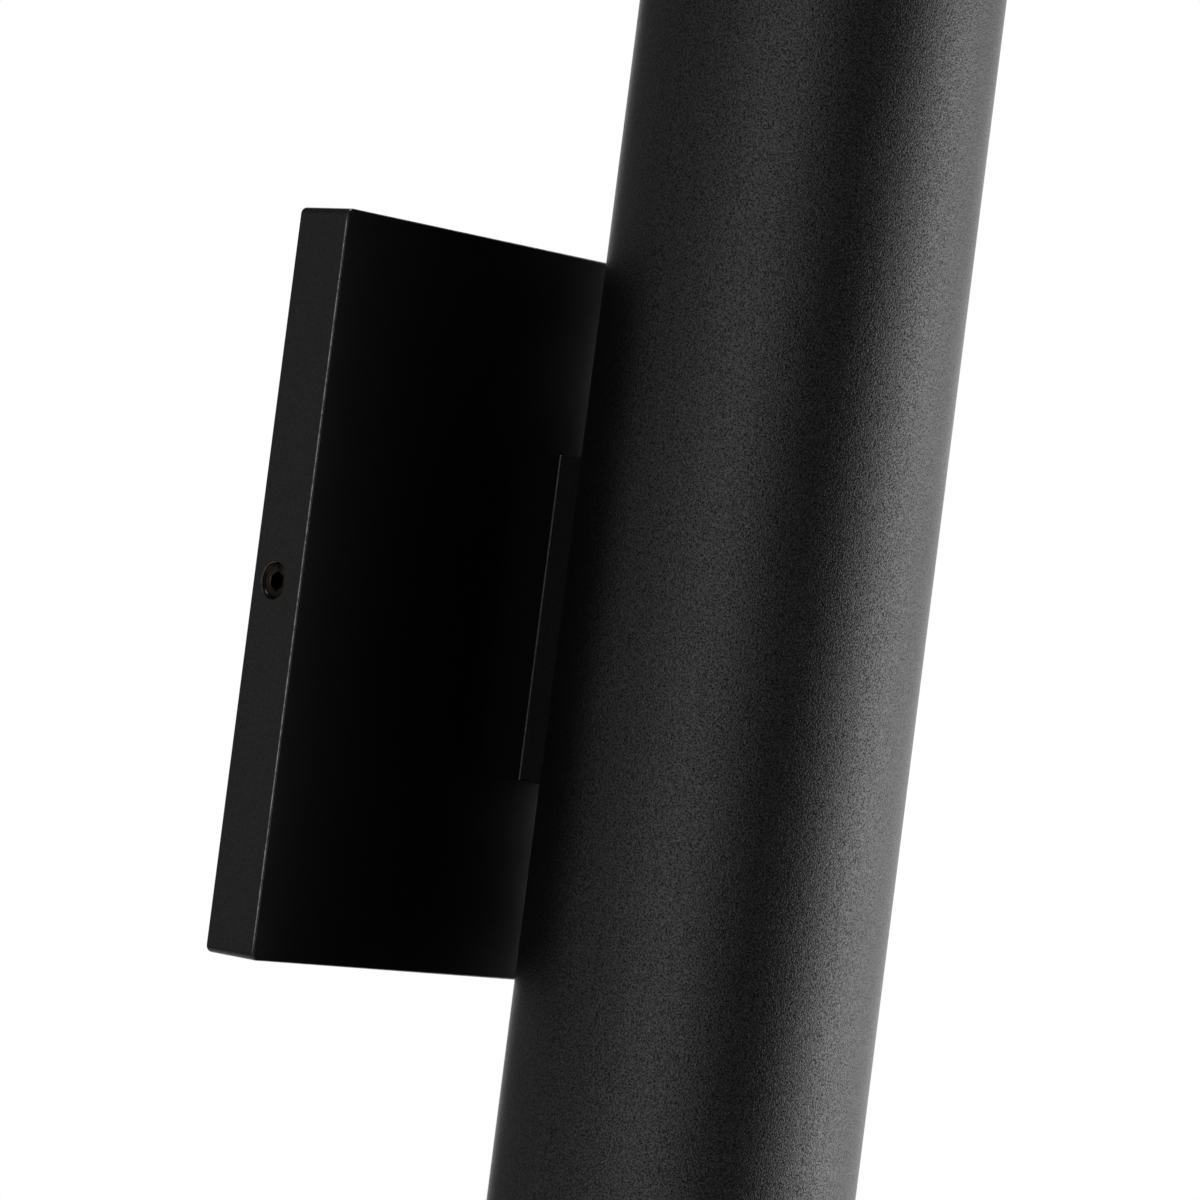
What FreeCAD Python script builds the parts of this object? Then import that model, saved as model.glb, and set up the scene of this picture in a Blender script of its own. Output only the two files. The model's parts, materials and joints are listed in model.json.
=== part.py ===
"""Tube wall light: a round tube that shines up and down, held off a square
wall canopy by a narrow standoff block.

Frame: the origin is the centre of the wall face, the wall is the plane Y = 0,
the light stands out towards -Y and +Z is up along the tube. Lengths are in
millimetres. "Out" is the distance from the wall, so out = -Y.
"""
import FreeCAD, Part
import math
import os
import re
import Sketcher

# Each size that can be set by itself: name, value.
SIZES = {
    # canopy cover, a square pan that is open to the wall
    "cover_width": 127.0,
    "cover_height": 127.0,
    "cover_depth": 12.5,
    "cover_wall": 2.0,
    "cover_edge_round": 0.5,
    "cover_corner_round": 0.8,
    # standoff block between the cover and the tube
    "standoff_width": 16.0,
    "standoff_height": 57.4,
    "standoff_gap": 11.0,
    "standoff_edge_round": 0.4,
    "saddle_clearance": 0.05,
    # tube
    "tube_diameter": 62.0,
    "tube_wall": 2.0,
    "tube_length": 305.0,
    "tube_end_chamfer": 0.5,
    # the two screws that hold cover, standoff block and tube together
    "arm_screw_spacing": 40.0,
    "arm_screw_diameter": 5.0,
    "arm_screw_hole": 5.4,
    "arm_screw_grip": 5.5,
    "arm_head_diameter": 9.5,
    "arm_head_height": 3.4,
    "arm_socket_width": 3.0,
    "arm_socket_depth": 2.0,
    # nut bar inside the tube
    "nut_bar_width": 14.0,
    "nut_bar_height": 54.0,
    "nut_bar_thickness": 7.0,
    "thread_clearance": 0.05,
    # passage for the supply leads
    "passage_diameter": 9.0,
    "grommet_bore": 6.4,
    "grommet_flange_diameter": 12.0,
    "grommet_flange_thickness": 1.2,
    "grommet_reach": 3.0,
    "snug_clearance": 0.1,
    # wall bracket, a bent crossbar
    "bracket_thickness": 2.0,
    "bracket_height": 36.0,
    "bracket_tab_reach": 9.0,
    "bracket_bend": 1.0,
    "slot_spacing": 83.3,
    "slot_length": 18.5,
    "slot_width": 4.8,
    "wire_hole_diameter": 28.0,
    "ground_screw_inset": 31.9,
    "ground_screw_drop": 6.0,
    "ground_screw_diameter": 3.5,
    "ground_head_diameter": 8.0,
    "ground_head_height": 2.4,
    "ground_slot_width": 1.2,
    # set screws in the sides of the cover
    "set_screw_out": 5.5,
    "set_screw_diameter": 6.0,
    "set_screw_length": 6.0,
    "set_screw_recess": 0.3,
    "set_screw_chamfer": 0.6,
    "set_socket_width": 3.0,
    "set_socket_depth": 3.0,
    "set_tip_gap": 0.3,
    "bush_diameter": 9.0,
    "bush_length": 3.4,
    # terminal block inside the cover
    "terminal_inset": 14.5,
    "terminal_length": 18.0,
    "terminal_width": 20.0,
    "terminal_height": 7.4,
    "terminal_pitch": 6.6,
    "terminal_screw_diameter": 3.6,
    "terminal_screw_depth": 3.2,
    "terminal_slot_width": 0.8,
    "terminal_hole_diameter": 2.4,
    "terminal_hole_depth": 5.0,
    "terminal_lead_out": 6.2,
    # driver and its tray inside the tube
    "driver_width": 30.0,
    "driver_depth": 22.0,
    "driver_start": 22.0,
    "driver_gap": 2.6,
    "driver_round": 1.5,
    "tray_thickness": 1.2,
    "tray_foot": 26.0,
    "tray_flange_depth": 14.0,
    "tray_screw_spacing": 24.0,
    "tray_screw_diameter": 3.0,
    "tray_screw_length": 5.0,
    "tray_head_diameter": 5.6,
    "tray_head_height": 1.8,
    "strap_width": 9.0,
    "strap_thickness": 0.8,
    # leads
    "lead_diameter": 1.8,
    "lead_pitch": 3.4,
    "lead_bend": 5.4,
    "lead_stand": 1.0,
    "supply_rise": 12.0,
    "supply_bend": 7.0,
    "led_lead_offset": 15.0,
    "led_lead_pitch": 6.0,
    "lead_hole_diameter": 2.6,
    # lamp end, from the mouth of the tube inwards
    "ring_inset": 4.0,
    "ring_height": 7.0,
    "ring_mouth_lip": 3.0,
    "ring_throat_lip": 5.0,
    "ring_fit": 0.05,
    "ring_notch_width": 3.0,
    "ring_notch_depth": 2.0,
    "running_gap": 0.3,
    "gasket_thickness": 1.5,
    "gasket_width": 3.5,
    "lens_thickness": 3.0,
    "lens_edge_gap": 0.4,
    "reflector_wall": 1.2,
    "reflector_flange": 4.0,
    "reflector_base": 17.0,
    "reflector_depth": 24.0,
    "board_diameter": 36.0,
    "board_thickness": 1.6,
    "emitter_diameter": 13.0,
    "emitter_height": 1.0,
    "pad_thickness": 0.5,
    "sink_base": 8.0,
    "sink_rim": 1.6,
    "fin_count": 12,
    "fin_length": 24.0,
    "fin_thickness": 1.5,
    "fin_inner": 9.0,
    "fin_margin": 2.9,
    "sink_screw_diameter": 3.0,
    "sink_screw_length": 7.0,
    "sink_head_diameter": 5.6,
}

# Places that follow from the sizes, as formulas.
TUBE_RADIUS = "(tube_diameter / 2)"
TUBE_BORE = "(tube_diameter / 2 - tube_wall)"
COVER_FLOOR = "(cover_depth - cover_wall)"
TUBE_AXIS = "(cover_depth + standoff_gap + tube_diameter / 2)"
NUT_BAR_FRONT = "(tube_diameter / 2 - tube_wall - nut_bar_thickness)"
TRAY_FRONT = "(tube_diameter / 2 - tube_wall - nut_bar_thickness - tray_thickness)"
DRIVER_BACK = f"({TRAY_FRONT} - snug_clearance)"
DRIVER_SIDE = "(driver_width / 2 + snug_clearance)"
BRACKET_TAB = ("(cover_width / 2 - set_screw_recess - set_screw_length"
               " - set_tip_gap)")
GROUND_X = f"({BRACKET_TAB} - ground_screw_inset)"
GROUND_Z = "(bracket_height / 2 - ground_screw_drop)"
TERMINAL_RIGHT = "(cover_wall + terminal_inset + terminal_length - cover_width / 2)"
TERMINAL_X = f"({TERMINAL_RIGHT} - terminal_length / 2)"

# Heights in a lamp end, measured up from the middle of the tube.
RING_TOP = "(tube_length / 2 - ring_inset)"
GASKET_TOP = f"({RING_TOP} - ring_height - running_gap)"
LENS_TOP = f"({GASKET_TOP} - gasket_thickness)"
REFLECTOR_TOP = f"({LENS_TOP} - lens_thickness)"
REFLECTOR_SEAT = f"({REFLECTOR_TOP} - reflector_wall)"
BOARD_TOP = f"({REFLECTOR_TOP} - reflector_depth)"
PAD_TOP = f"({BOARD_TOP} - board_thickness)"
SINK_TOP = f"({PAD_TOP} - pad_thickness)"
SINK_UNDER = f"({SINK_TOP} - sink_base)"
SINK_SCREW_HEIGHT = f"({SINK_TOP} - sink_base / 2)"
SINK_RADIUS = f"({TUBE_BORE} - snug_clearance)"
INNER_RIM = f"({SINK_RADIUS} - lens_edge_gap)"
RING_MOUTH = f"({TUBE_BORE} - ring_mouth_lip)"
RING_THROAT = f"({TUBE_BORE} - ring_throat_lip)"
GASKET_BORE = f"({INNER_RIM} - gasket_width)"
REFLECTOR_MOUTH = f"({INNER_RIM} - reflector_flange)"
FIN_OUTER = f"({SINK_RADIUS} - fin_margin)"
DRIVER_END = f"({SINK_UNDER} - fin_length - driver_gap)"

# A bend takes up this share of the shorter run beside it, at most.
BEND_SHARE = 0.45

DOC = FreeCAD.newDocument("tube_wall_light")
PARTS = []


def make_sheet():
    """The sheet that holds every driving dimension as a plain number."""
    sheet = DOC.addObject("Spreadsheet::Sheet", "Sizes")
    for row, (name, value) in enumerate(SIZES.items(), start=1):
        sheet.set(f"A{row}", name)
        sheet.set(f"B{row}", str(value))
        sheet.setAlias(f"B{row}", name)
    DOC.recompute()
    return sheet


SHEET = make_sheet()


def bound(formula):
    """Point each size named in a formula at its cell in the sheet."""
    def cell(match):
        word = match.group(0)
        return "Sizes." + word if word in SIZES else word
    return re.sub(r"[a-z][a-z0-9_]*", cell, str(formula))


def number(formula):
    """The value of a formula in millimetres."""
    return float(SHEET.evalExpression(bound(formula)))


def bind(thing, path, formula):
    """Tie one property of an object to a formula of the sheet's sizes."""
    thing.setExpression(path, bound(formula))


def vector(u, v, w=0.0):
    return FreeCAD.Vector(u, v, w)


# ---------------------------------------------------------------- bodies

def new_body(label, out="0", end=None):
    """A body for one sub-part, with its own frame.

    Its origin stands the given distance out from the wall. A lower lamp
    end is the upper one turned over about the Y axis.
    """
    body = DOC.addObject("PartDesign::Body", label)
    body.Label = label
    if end == "lower":
        half_turn = FreeCAD.Rotation(FreeCAD.Vector(0, 1, 0), 180)
        body.Placement = FreeCAD.Placement(FreeCAD.Vector(), half_turn)
    bind(body, "Placement.Base.y", f"-{out}")
    PARTS.append(body)
    return body


def sketch_on(body, plane_role, rise="0"):
    """A sketch on one of the body's own origin planes, raised along its normal.

    XZ_Plane looks at the wall: u is X, v is Z and the normal is -Y.
    XY_Plane looks down: u is X, v is Y and the normal is +Z.
    YZ_Plane looks from the right: u is Y, v is Z and the normal is +X.
    """
    planes = [p for p in body.Origin.OriginFeatures if p.Role == plane_role]
    sketch = body.newObject("Sketcher::SketchObject", body.Label + "_sketch")
    sketch.AttachmentSupport = [(planes[0], "")]
    sketch.MapMode = "FlatFace"
    bind(sketch, "AttachmentOffset.Base.z", rise)
    return sketch


def pin_point(sketch, geometry, point, u, v):
    """Hold one point of a sketch at the place its two formulas give."""
    for kind, formula in (("DistanceX", u), ("DistanceY", v)):
        rule = Sketcher.Constraint(kind, -1, 1, geometry, point, number(formula))
        index = sketch.addConstraint(rule)
        bind(sketch, f"Constraints[{index}]", formula)


def outline(sketch, corners):
    """A closed outline of straight edges through the given corners."""
    first = sketch.GeometryCount
    places = [vector(number(u), number(v)) for u, v in corners]
    count = len(corners)
    for i in range(count):
        sketch.addGeometry(Part.LineSegment(places[i], places[(i + 1) % count]), False)
    for i in range(count):
        following = first + (i + 1) % count
        sketch.addConstraint(Sketcher.Constraint("Coincident", first + i, 2, following, 1))
    for i, (u, v) in enumerate(corners):
        pin_point(sketch, first + i, 1, u, v)


def rectangle(sketch, u_low, u_high, v_low, v_high):
    outline(sketch, [(u_low, v_low), (u_high, v_low), (u_high, v_high), (u_low, v_high)])


def centred_rectangle(sketch, width, height, u="0", v="0"):
    rectangle(sketch, f"{u} - {width} / 2", f"{u} + {width} / 2",
              f"{v} - {height} / 2", f"{v} + {height} / 2")


def circle(sketch, radius, u="0", v="0"):
    centre = vector(number(u), number(v))
    ring = Part.Circle(centre, vector(0, 0, 1), number(radius))
    geometry = sketch.addGeometry(ring, False)
    pin_point(sketch, geometry, 3, u, v)
    index = sketch.addConstraint(Sketcher.Constraint("Radius", geometry, number(radius)))
    bind(sketch, f"Constraints[{index}]", radius)


def hexagon(sketch, width):
    """A hexagon socket's outline; width is the distance across its flats."""
    side = f"{width} / (2 * sqrt(3))"
    outline(sketch, [(f"2 * {side}", "0"), (side, f"{width} / 2"),
                     (f"-{side}", f"{width} / 2"), (f"-2 * {side}", "0"),
                     (f"-{side}", f"-{width} / 2"), (side, f"-{width} / 2")])


def slot(sketch, u, length, width):
    """A round-ended slot that runs along u, centred on v = 0."""
    reach = f"({length} - {width}) / 2"
    left, right, half = number(f"{u} - {reach}"), number(f"{u} + {reach}"), number(f"{width} / 2")
    top = sketch.addGeometry(Part.LineSegment(vector(right, half), vector(left, half)), False)
    west = Part.Arc(vector(left, half), vector(left - half, 0), vector(left, -half))
    west = sketch.addGeometry(west, False)
    base = sketch.addGeometry(Part.LineSegment(vector(left, -half), vector(right, -half)), False)
    east = Part.Arc(vector(right, -half), vector(right + half, 0), vector(right, half))
    east = sketch.addGeometry(east, False)
    for line, line_end, arc, arc_end in ((top, 2, west, 1), (base, 1, west, 2),
                                         (base, 2, east, 1), (top, 1, east, 2)):
        sketch.addConstraint(Sketcher.Constraint("Tangent", line, line_end, arc, arc_end))
    pin_point(sketch, west, 3, f"{u} - {reach}", "0")
    pin_point(sketch, east, 3, f"{u} + {reach}", "0")
    index = sketch.addConstraint(Sketcher.Constraint("Radius", west, half))
    bind(sketch, f"Constraints[{index}]", f"{width} / 2")


def extrude(body, sketch, kind, length, symmetric=False, reverse=False):
    feature = body.newObject(kind, sketch.Label + "_" + kind.split("::")[1].lower())
    feature.Profile = sketch
    bind(feature, "Length", length)
    if symmetric:
        feature.SideType = "Symmetric"
    feature.Reversed = reverse
    sketch.Visibility = False
    return feature


def pad(body, sketch, length, symmetric=False, reverse=False):
    """Material from the sketch along its normal, or both ways, or backwards."""
    return extrude(body, sketch, "PartDesign::Pad", length, symmetric, reverse)


def pocket(body, sketch, length, symmetric=False, along_normal=False):
    """A cut from the sketch; it must take material away."""
    DOC.recompute()
    before = body.Shape.Volume
    feature = extrude(body, sketch, "PartDesign::Pocket", length, symmetric, along_normal)
    DOC.recompute()
    if body.Shape.Volume >= before:
        raise RuntimeError(f"{feature.Label} cuts nothing from {body.Label}")
    return feature


def turn(body, sketch, kind, axis):
    feature = body.newObject(kind, sketch.Label + "_turned")
    feature.Profile = sketch
    feature.ReferenceAxis = (sketch, [axis])
    feature.Angle = 360
    return feature


def revolve(body, sketch, axis="V_Axis"):
    return turn(body, sketch, "PartDesign::Revolution", axis)


def groove(body, sketch, axis):
    DOC.recompute()
    before = body.Shape.Volume
    feature = turn(body, sketch, "PartDesign::Groove", axis)
    DOC.recompute()
    if body.Shape.Volume >= before:
        raise RuntimeError(f"{feature.Label} cuts nothing from {body.Label}")
    return feature


def dress(body, kind, amount_name, amount, wanted):
    """Round or chamfer each edge of the body that the test picks."""
    DOC.recompute()
    base = body.Tip
    own = base.Shape.copy()
    edges = [f"Edge{i}" for i, edge in enumerate(own.Edges, start=1) if wanted(edge)]
    feature = body.newObject(kind, body.Label + "_edges")
    feature.Base = (base, edges)
    bind(feature, amount_name, amount)
    return feature


def fillet(body, radius, wanted):
    return dress(body, "PartDesign::Fillet", "Radius", radius, wanted)


def chamfer(body, size, wanted):
    return dress(body, "PartDesign::Chamfer", "Size", size, wanted)


def runs_along(edge, direction):
    """True for a straight edge that lies along the given axis letter."""
    if not isinstance(edge.Curve, Part.Line):
        return False
    way = edge.tangentAt(edge.FirstParameter)
    return abs(abs(getattr(way, direction)) - 1) < 1e-6


def lies_at(edge, direction, place):
    """True for an edge whose points all have the given coordinate."""
    box = edge.BoundBox
    low = getattr(box, direction.upper() + "Min")
    high = getattr(box, direction.upper() + "Max")
    return abs(low - place) < 1e-4 and abs(high - place) < 1e-4


# ------------------------------------------------------------ wall side

def wall_bracket():
    """Bent crossbar: a flat web on the wall and a tab at each end."""
    body = new_body("wall_bracket")
    bends = sketch_on(body, "XY_Plane")
    inner = f"({BRACKET_TAB} - bracket_thickness)"
    outline(bends, [(f"-{BRACKET_TAB}", "0"), (BRACKET_TAB, "0"),
                    (BRACKET_TAB, "-bracket_tab_reach"), (inner, "-bracket_tab_reach"),
                    (inner, "-bracket_thickness"), (f"-{inner}", "-bracket_thickness"),
                    (f"-{inner}", "-bracket_tab_reach"),
                    (f"-{BRACKET_TAB}", "-bracket_tab_reach")])
    pad(body, bends, "bracket_height", symmetric=True)
    fillet(body, "bracket_bend", lambda edge: runs_along(edge, "z")
           and lies_at(edge, "y", -number("bracket_thickness")))
    fillet(body, "bracket_bend", lambda edge: runs_along(edge, "z")
           and lies_at(edge, "y", 0))
    slots = sketch_on(body, "XZ_Plane")
    slot(slots, "-slot_spacing / 2", "slot_length", "slot_width")
    slot(slots, "slot_spacing / 2", "slot_length", "slot_width")
    circle(slots, "wire_hole_diameter / 2")
    circle(slots, "ground_screw_diameter / 2 + thread_clearance",
           GROUND_X, GROUND_Z)
    pocket(body, slots, "bracket_thickness", along_normal=True)


def ground_screw():
    """Green earth screw in the web, for the building's earth lead."""
    body = new_body("ground_screw", "bracket_thickness")
    shank = sketch_on(body, "XZ_Plane", "-bracket_thickness")
    circle(shank, "ground_screw_diameter / 2", GROUND_X, GROUND_Z)
    pad(body, shank, "bracket_thickness")
    head = sketch_on(body, "XZ_Plane")
    circle(head, "ground_head_diameter / 2", GROUND_X, GROUND_Z)
    pad(body, head, "ground_head_height")
    cut = sketch_on(body, "XZ_Plane", "ground_head_height")
    rectangle(cut, f"{GROUND_X} - ground_head_diameter", f"{GROUND_X} + ground_head_diameter",
              f"{GROUND_Z} - ground_slot_width / 2", f"{GROUND_Z} + ground_slot_width / 2")
    pocket(body, cut, "ground_head_height / 2")


# --------------------------------------------------------------- canopy

def canopy_cover():
    """Square pan with softened outer edges and its holes."""
    body = new_body("canopy_cover")
    block = sketch_on(body, "XZ_Plane")
    centred_rectangle(block, "cover_width", "cover_height")
    pad(body, block, "cover_depth")
    fillet(body, "cover_corner_round", lambda edge: runs_along(edge, "y"))
    fillet(body, "cover_edge_round",
           lambda edge: lies_at(edge, "y", -number("cover_depth")))
    hollow = sketch_on(body, "XZ_Plane")
    centred_rectangle(hollow, "(cover_width - 2 * cover_wall)",
                      "(cover_height - 2 * cover_wall)")
    pocket(body, hollow, COVER_FLOOR, along_normal=True)
    holes = sketch_on(body, "XZ_Plane")
    circle(holes, "passage_diameter / 2")
    for side in ("-", ""):
        circle(holes, "arm_screw_hole / 2", "0", f"{side}arm_screw_spacing / 2")
    pocket(body, holes, "cover_depth", along_normal=True)
    side_holes = sketch_on(body, "YZ_Plane")
    circle(side_holes, "set_screw_diameter / 2 + thread_clearance", "-set_screw_out")
    pocket(body, side_holes, "2 * cover_width", symmetric=True)


def screw_bush(side):
    """Threaded bush behind the cover's side wall, for the set screw."""
    body = new_body(side + "_screw_bush")
    inner_face = "(cover_width / 2 - cover_wall)"
    start = f"-{inner_face}" if side == "left" else f"{inner_face} - bush_length"
    ring = sketch_on(body, "YZ_Plane", start)
    circle(ring, "bush_diameter / 2", "-set_screw_out")
    circle(ring, "set_screw_diameter / 2 + thread_clearance", "-set_screw_out")
    pad(body, ring, "bush_length")


def set_screw(side):
    """Socket set screw, turned in from the side against the bracket's tab."""
    body = new_body(side + "_set_screw", "set_screw_out")
    if side == "right":
        half_turn = FreeCAD.Rotation(FreeCAD.Vector(0, 0, 1), 180)
        body.Placement = FreeCAD.Placement(body.Placement.Base, half_turn)
    outer = "(-cover_width / 2 + set_screw_recess)"
    inner = f"({outer} + set_screw_length)"
    radius = "set_screw_diameter / 2"
    profile = sketch_on(body, "XZ_Plane")
    outline(profile, [(outer, "0"), (inner, "0"),
                      (inner, f"{radius} - 2 * set_screw_chamfer"),
                      (f"{inner} - 2 * set_screw_chamfer", radius),
                      (f"{outer} + set_screw_chamfer", radius),
                      (outer, f"{radius} - set_screw_chamfer")])
    revolve(body, profile, "H_Axis")
    socket = sketch_on(body, "YZ_Plane", outer)
    hexagon(socket, "set_socket_width")
    pocket(body, socket, "set_socket_depth", along_normal=True)


def standoff_block():
    """Narrow upright block; its far end is hollowed to the tube's curve."""
    body = new_body("standoff_block", "cover_depth")
    block = sketch_on(body, "XZ_Plane")
    centred_rectangle(block, "standoff_width", "standoff_height")
    pad(body, block, "standoff_gap + tube_diameter / 4")
    fillet(body, "standoff_edge_round",
           lambda edge: runs_along(edge, "y") or lies_at(edge, "y", 0))
    saddle = sketch_on(body, "XY_Plane")
    circle(saddle, f"{TUBE_RADIUS} + saddle_clearance", "0",
           f"-(standoff_gap + {TUBE_RADIUS})")
    pocket(body, saddle, "2 * standoff_height", symmetric=True)
    holes = sketch_on(body, "XZ_Plane")
    circle(holes, "passage_diameter / 2")
    for sign in ("-", ""):
        circle(holes, "arm_screw_hole / 2", "0", f"{sign}arm_screw_spacing / 2")
    pocket(body, holes, "standoff_gap + tube_diameter / 4", along_normal=True)


def arm_screws():
    """Two screws from inside the cover, through the block, into the nut bar."""
    for place in ("upper", "lower"):
        sign = "" if place == "upper" else "-"
        body = new_body(place + "_arm_screw", COVER_FLOOR)
        centre = ("0", f"{sign}arm_screw_spacing / 2")
        head = sketch_on(body, "XZ_Plane", "-arm_head_height")
        circle(head, "arm_head_diameter / 2", *centre)
        pad(body, head, "arm_head_height")
        shank = sketch_on(body, "XZ_Plane")
        circle(shank, "arm_screw_diameter / 2", *centre)
        pad(body, shank, "cover_wall + standoff_gap + tube_wall + arm_screw_grip")
        chamfer(body, "arm_head_height / 4",
                lambda edge: lies_at(edge, "y", number("arm_head_height")))
        socket = sketch_on(body, "XZ_Plane", "-arm_head_height")
        circle(socket, "arm_socket_width / 2", *centre)
        pocket(body, socket, "arm_socket_depth", along_normal=True)


def grommet():
    """Flanged bush that lines the lead passage where it leaves the cover."""
    body = new_body("grommet", COVER_FLOOR)
    profile = sketch_on(body, "XY_Plane")
    sleeve = "passage_diameter / 2 - snug_clearance"
    flange = "grommet_flange_diameter / 2"
    bore = "grommet_bore / 2"
    sleeve_end = "-(cover_wall + grommet_reach)"
    outline(profile, [(bore, "grommet_flange_thickness"), (bore, sleeve_end),
                      (sleeve, sleeve_end), (sleeve, "0"),
                      (flange, "0"), (flange, "grommet_flange_thickness")])
    revolve(body, profile, "V_Axis")


def terminal_block():
    """Insulating two-way block on the cover's floor, with entries and screw wells."""
    body = new_body("terminal_block", COVER_FLOOR)
    block = sketch_on(body, "XZ_Plane", "-terminal_height")
    centred_rectangle(block, "terminal_length", "terminal_width", TERMINAL_X)
    pad(body, block, "terminal_height")
    wells = sketch_on(body, "XZ_Plane", "-terminal_height")
    for sign in ("-", ""):
        circle(wells, "terminal_screw_diameter / 2", TERMINAL_X,
               f"{sign}terminal_pitch / 2")
    pocket(body, wells, "terminal_screw_depth", along_normal=True)
    entries = sketch_on(body, "YZ_Plane", f"{TERMINAL_X} - terminal_length / 2")
    for sign in ("-", ""):
        circle(entries, "terminal_hole_diameter / 2", f"{COVER_FLOOR} - terminal_lead_out",
               f"{sign}terminal_pitch / 2")
    pocket(body, entries, "terminal_hole_depth", along_normal=True)


def terminal_screws():
    """The clamp screws, one down each well."""
    for place in ("upper", "lower"):
        sign = "" if place == "upper" else "-"
        body = new_body(place + "_terminal_screw", COVER_FLOOR)
        radius = "terminal_screw_diameter / 2 - thread_clearance"
        head = sketch_on(body, "XZ_Plane", "-terminal_height + terminal_screw_depth / 3")
        circle(head, radius, TERMINAL_X, f"{sign}terminal_pitch / 2")
        pad(body, head, "terminal_screw_depth * 2 / 3")
        cut = sketch_on(body, "XZ_Plane", "-terminal_height + terminal_screw_depth / 3")
        rectangle(cut, f"{TERMINAL_X} - terminal_screw_diameter",
                  f"{TERMINAL_X} + terminal_screw_diameter",
                  f"{sign}terminal_pitch / 2 - terminal_slot_width / 2",
                  f"{sign}terminal_pitch / 2 + terminal_slot_width / 2")
        pocket(body, cut, "terminal_screw_depth / 3", along_normal=True)


# ----------------------------------------------------------------- tube

def tube():
    """The round tube, with its rear holes for the arm and heat-sink screws."""
    body = new_body("tube", TUBE_AXIS)
    section = sketch_on(body, "XY_Plane")
    circle(section, TUBE_RADIUS)
    circle(section, TUBE_BORE)
    pad(body, section, "tube_length", symmetric=True)
    half = number("tube_length / 2")
    chamfer(body, "tube_end_chamfer",
            lambda edge: lies_at(edge, "z", half) or lies_at(edge, "z", -half))
    holes = sketch_on(body, "XZ_Plane")
    circle(holes, "passage_diameter / 2")
    for sign in ("-", ""):
        circle(holes, "arm_screw_hole / 2", "0", f"{sign}arm_screw_spacing / 2")
    pocket(body, holes, "tube_diameter")
    for sign in ("-", ""):
        height = f"{sign}{SINK_SCREW_HEIGHT}"
        countersink = sketch_on(body, "YZ_Plane")
        head = "(sink_head_diameter / 2 + snug_clearance)"
        shank = "(sink_screw_diameter / 2 + snug_clearance)"
        outline(countersink, [(f"{TUBE_RADIUS} + tube_wall", height),
                              (f"{TUBE_RADIUS} - tube_wall * 2", height),
                              (f"{TUBE_RADIUS} - tube_wall * 2", f"{height} + {shank}"),
                              (f"{TUBE_RADIUS} - {head} + {shank}", f"{height} + {shank}"),
                              (TUBE_RADIUS, f"{height} + {head}"),
                              (f"{TUBE_RADIUS} + tube_wall", f"{height} + {head}")])
        line = countersink.addGeometry(
            Part.LineSegment(vector(0, number(height)), vector(number(TUBE_BORE), number(height))),
            True)
        pin_point(countersink, line, 1, "0", height)
        pin_point(countersink, line, 2, TUBE_BORE, height)
        groove(body, countersink, "Axis0")


def nut_bar():
    """Steel bar inside the tube, curved to its bore, that takes the arm screws."""
    body = new_body("nut_bar", TUBE_AXIS)
    bar = sketch_on(body, "XZ_Plane", f"-{TUBE_RADIUS}")
    centred_rectangle(bar, "nut_bar_width", "nut_bar_height")
    pad(body, bar, "tube_wall + nut_bar_thickness")
    curve = sketch_on(body, "XY_Plane")
    circle(curve, f"{TUBE_BORE} - saddle_clearance")
    circle(curve, "tube_diameter")
    pocket(body, curve, "2 * nut_bar_height", symmetric=True)
    holes = sketch_on(body, "XZ_Plane")
    circle(holes, "passage_diameter / 2")
    for sign in ("-", ""):
        circle(holes, "arm_screw_diameter / 2 + thread_clearance", "0",
               f"{sign}arm_screw_spacing / 2")
        circle(holes, "tray_screw_diameter / 2 + thread_clearance", "0",
               f"{sign}tray_screw_spacing / 2")
    pocket(body, holes, TUBE_RADIUS)


def driver_tray():
    """Sheet strip on the nut bar, with a flange along each side of the driver."""
    body = new_body("driver_tray", TUBE_AXIS)
    side = f"({DRIVER_SIDE} + tray_thickness)"
    back = sketch_on(body, "XZ_Plane", f"-{NUT_BAR_FRONT}")
    rectangle(back, f"-{side}", side, "-tray_foot", DRIVER_END)
    pad(body, back, "tray_thickness")
    flanges = sketch_on(body, "XZ_Plane", f"-{TRAY_FRONT}")
    rectangle(flanges, f"-{side}", f"-{DRIVER_SIDE}", "driver_start", DRIVER_END)
    rectangle(flanges, DRIVER_SIDE, side, "driver_start", DRIVER_END)
    pad(body, flanges, "tray_flange_depth")
    holes = sketch_on(body, "XZ_Plane", f"-{TRAY_FRONT}")
    circle(holes, "passage_diameter / 2")
    for sign in ("-", ""):
        circle(holes, "tray_screw_diameter / 2 + snug_clearance", "0",
               f"{sign}tray_screw_spacing / 2")
    pocket(body, holes, "2 * tray_thickness")


def tray_screws():
    """Two small screws that hold the tray to the nut bar."""
    for place in ("upper", "lower"):
        sign = "" if place == "upper" else "-"
        body = new_body(place + "_tray_screw", f"({TUBE_AXIS} - {TRAY_FRONT})")
        head = sketch_on(body, "XZ_Plane")
        circle(head, "tray_head_diameter / 2", "0", f"{sign}tray_screw_spacing / 2")
        pad(body, head, "tray_head_height")
        shank = sketch_on(body, "XZ_Plane")
        circle(shank, "tray_screw_diameter / 2", "0", f"{sign}tray_screw_spacing / 2")
        pad(body, shank, "tray_screw_length", reverse=True)


def driver():
    """The power supply's case, standing in the tray."""
    body = new_body("driver", TUBE_AXIS)
    case = sketch_on(body, "XZ_Plane", f"-{DRIVER_BACK}")
    rectangle(case, "-driver_width / 2", "driver_width / 2", "driver_start", DRIVER_END)
    pad(body, case, "driver_depth")
    front = f"({DRIVER_BACK} - driver_depth)"
    fillet(body, "driver_round", lambda edge: runs_along(edge, "z")
           and lies_at(edge, "y", number(front)))


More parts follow.
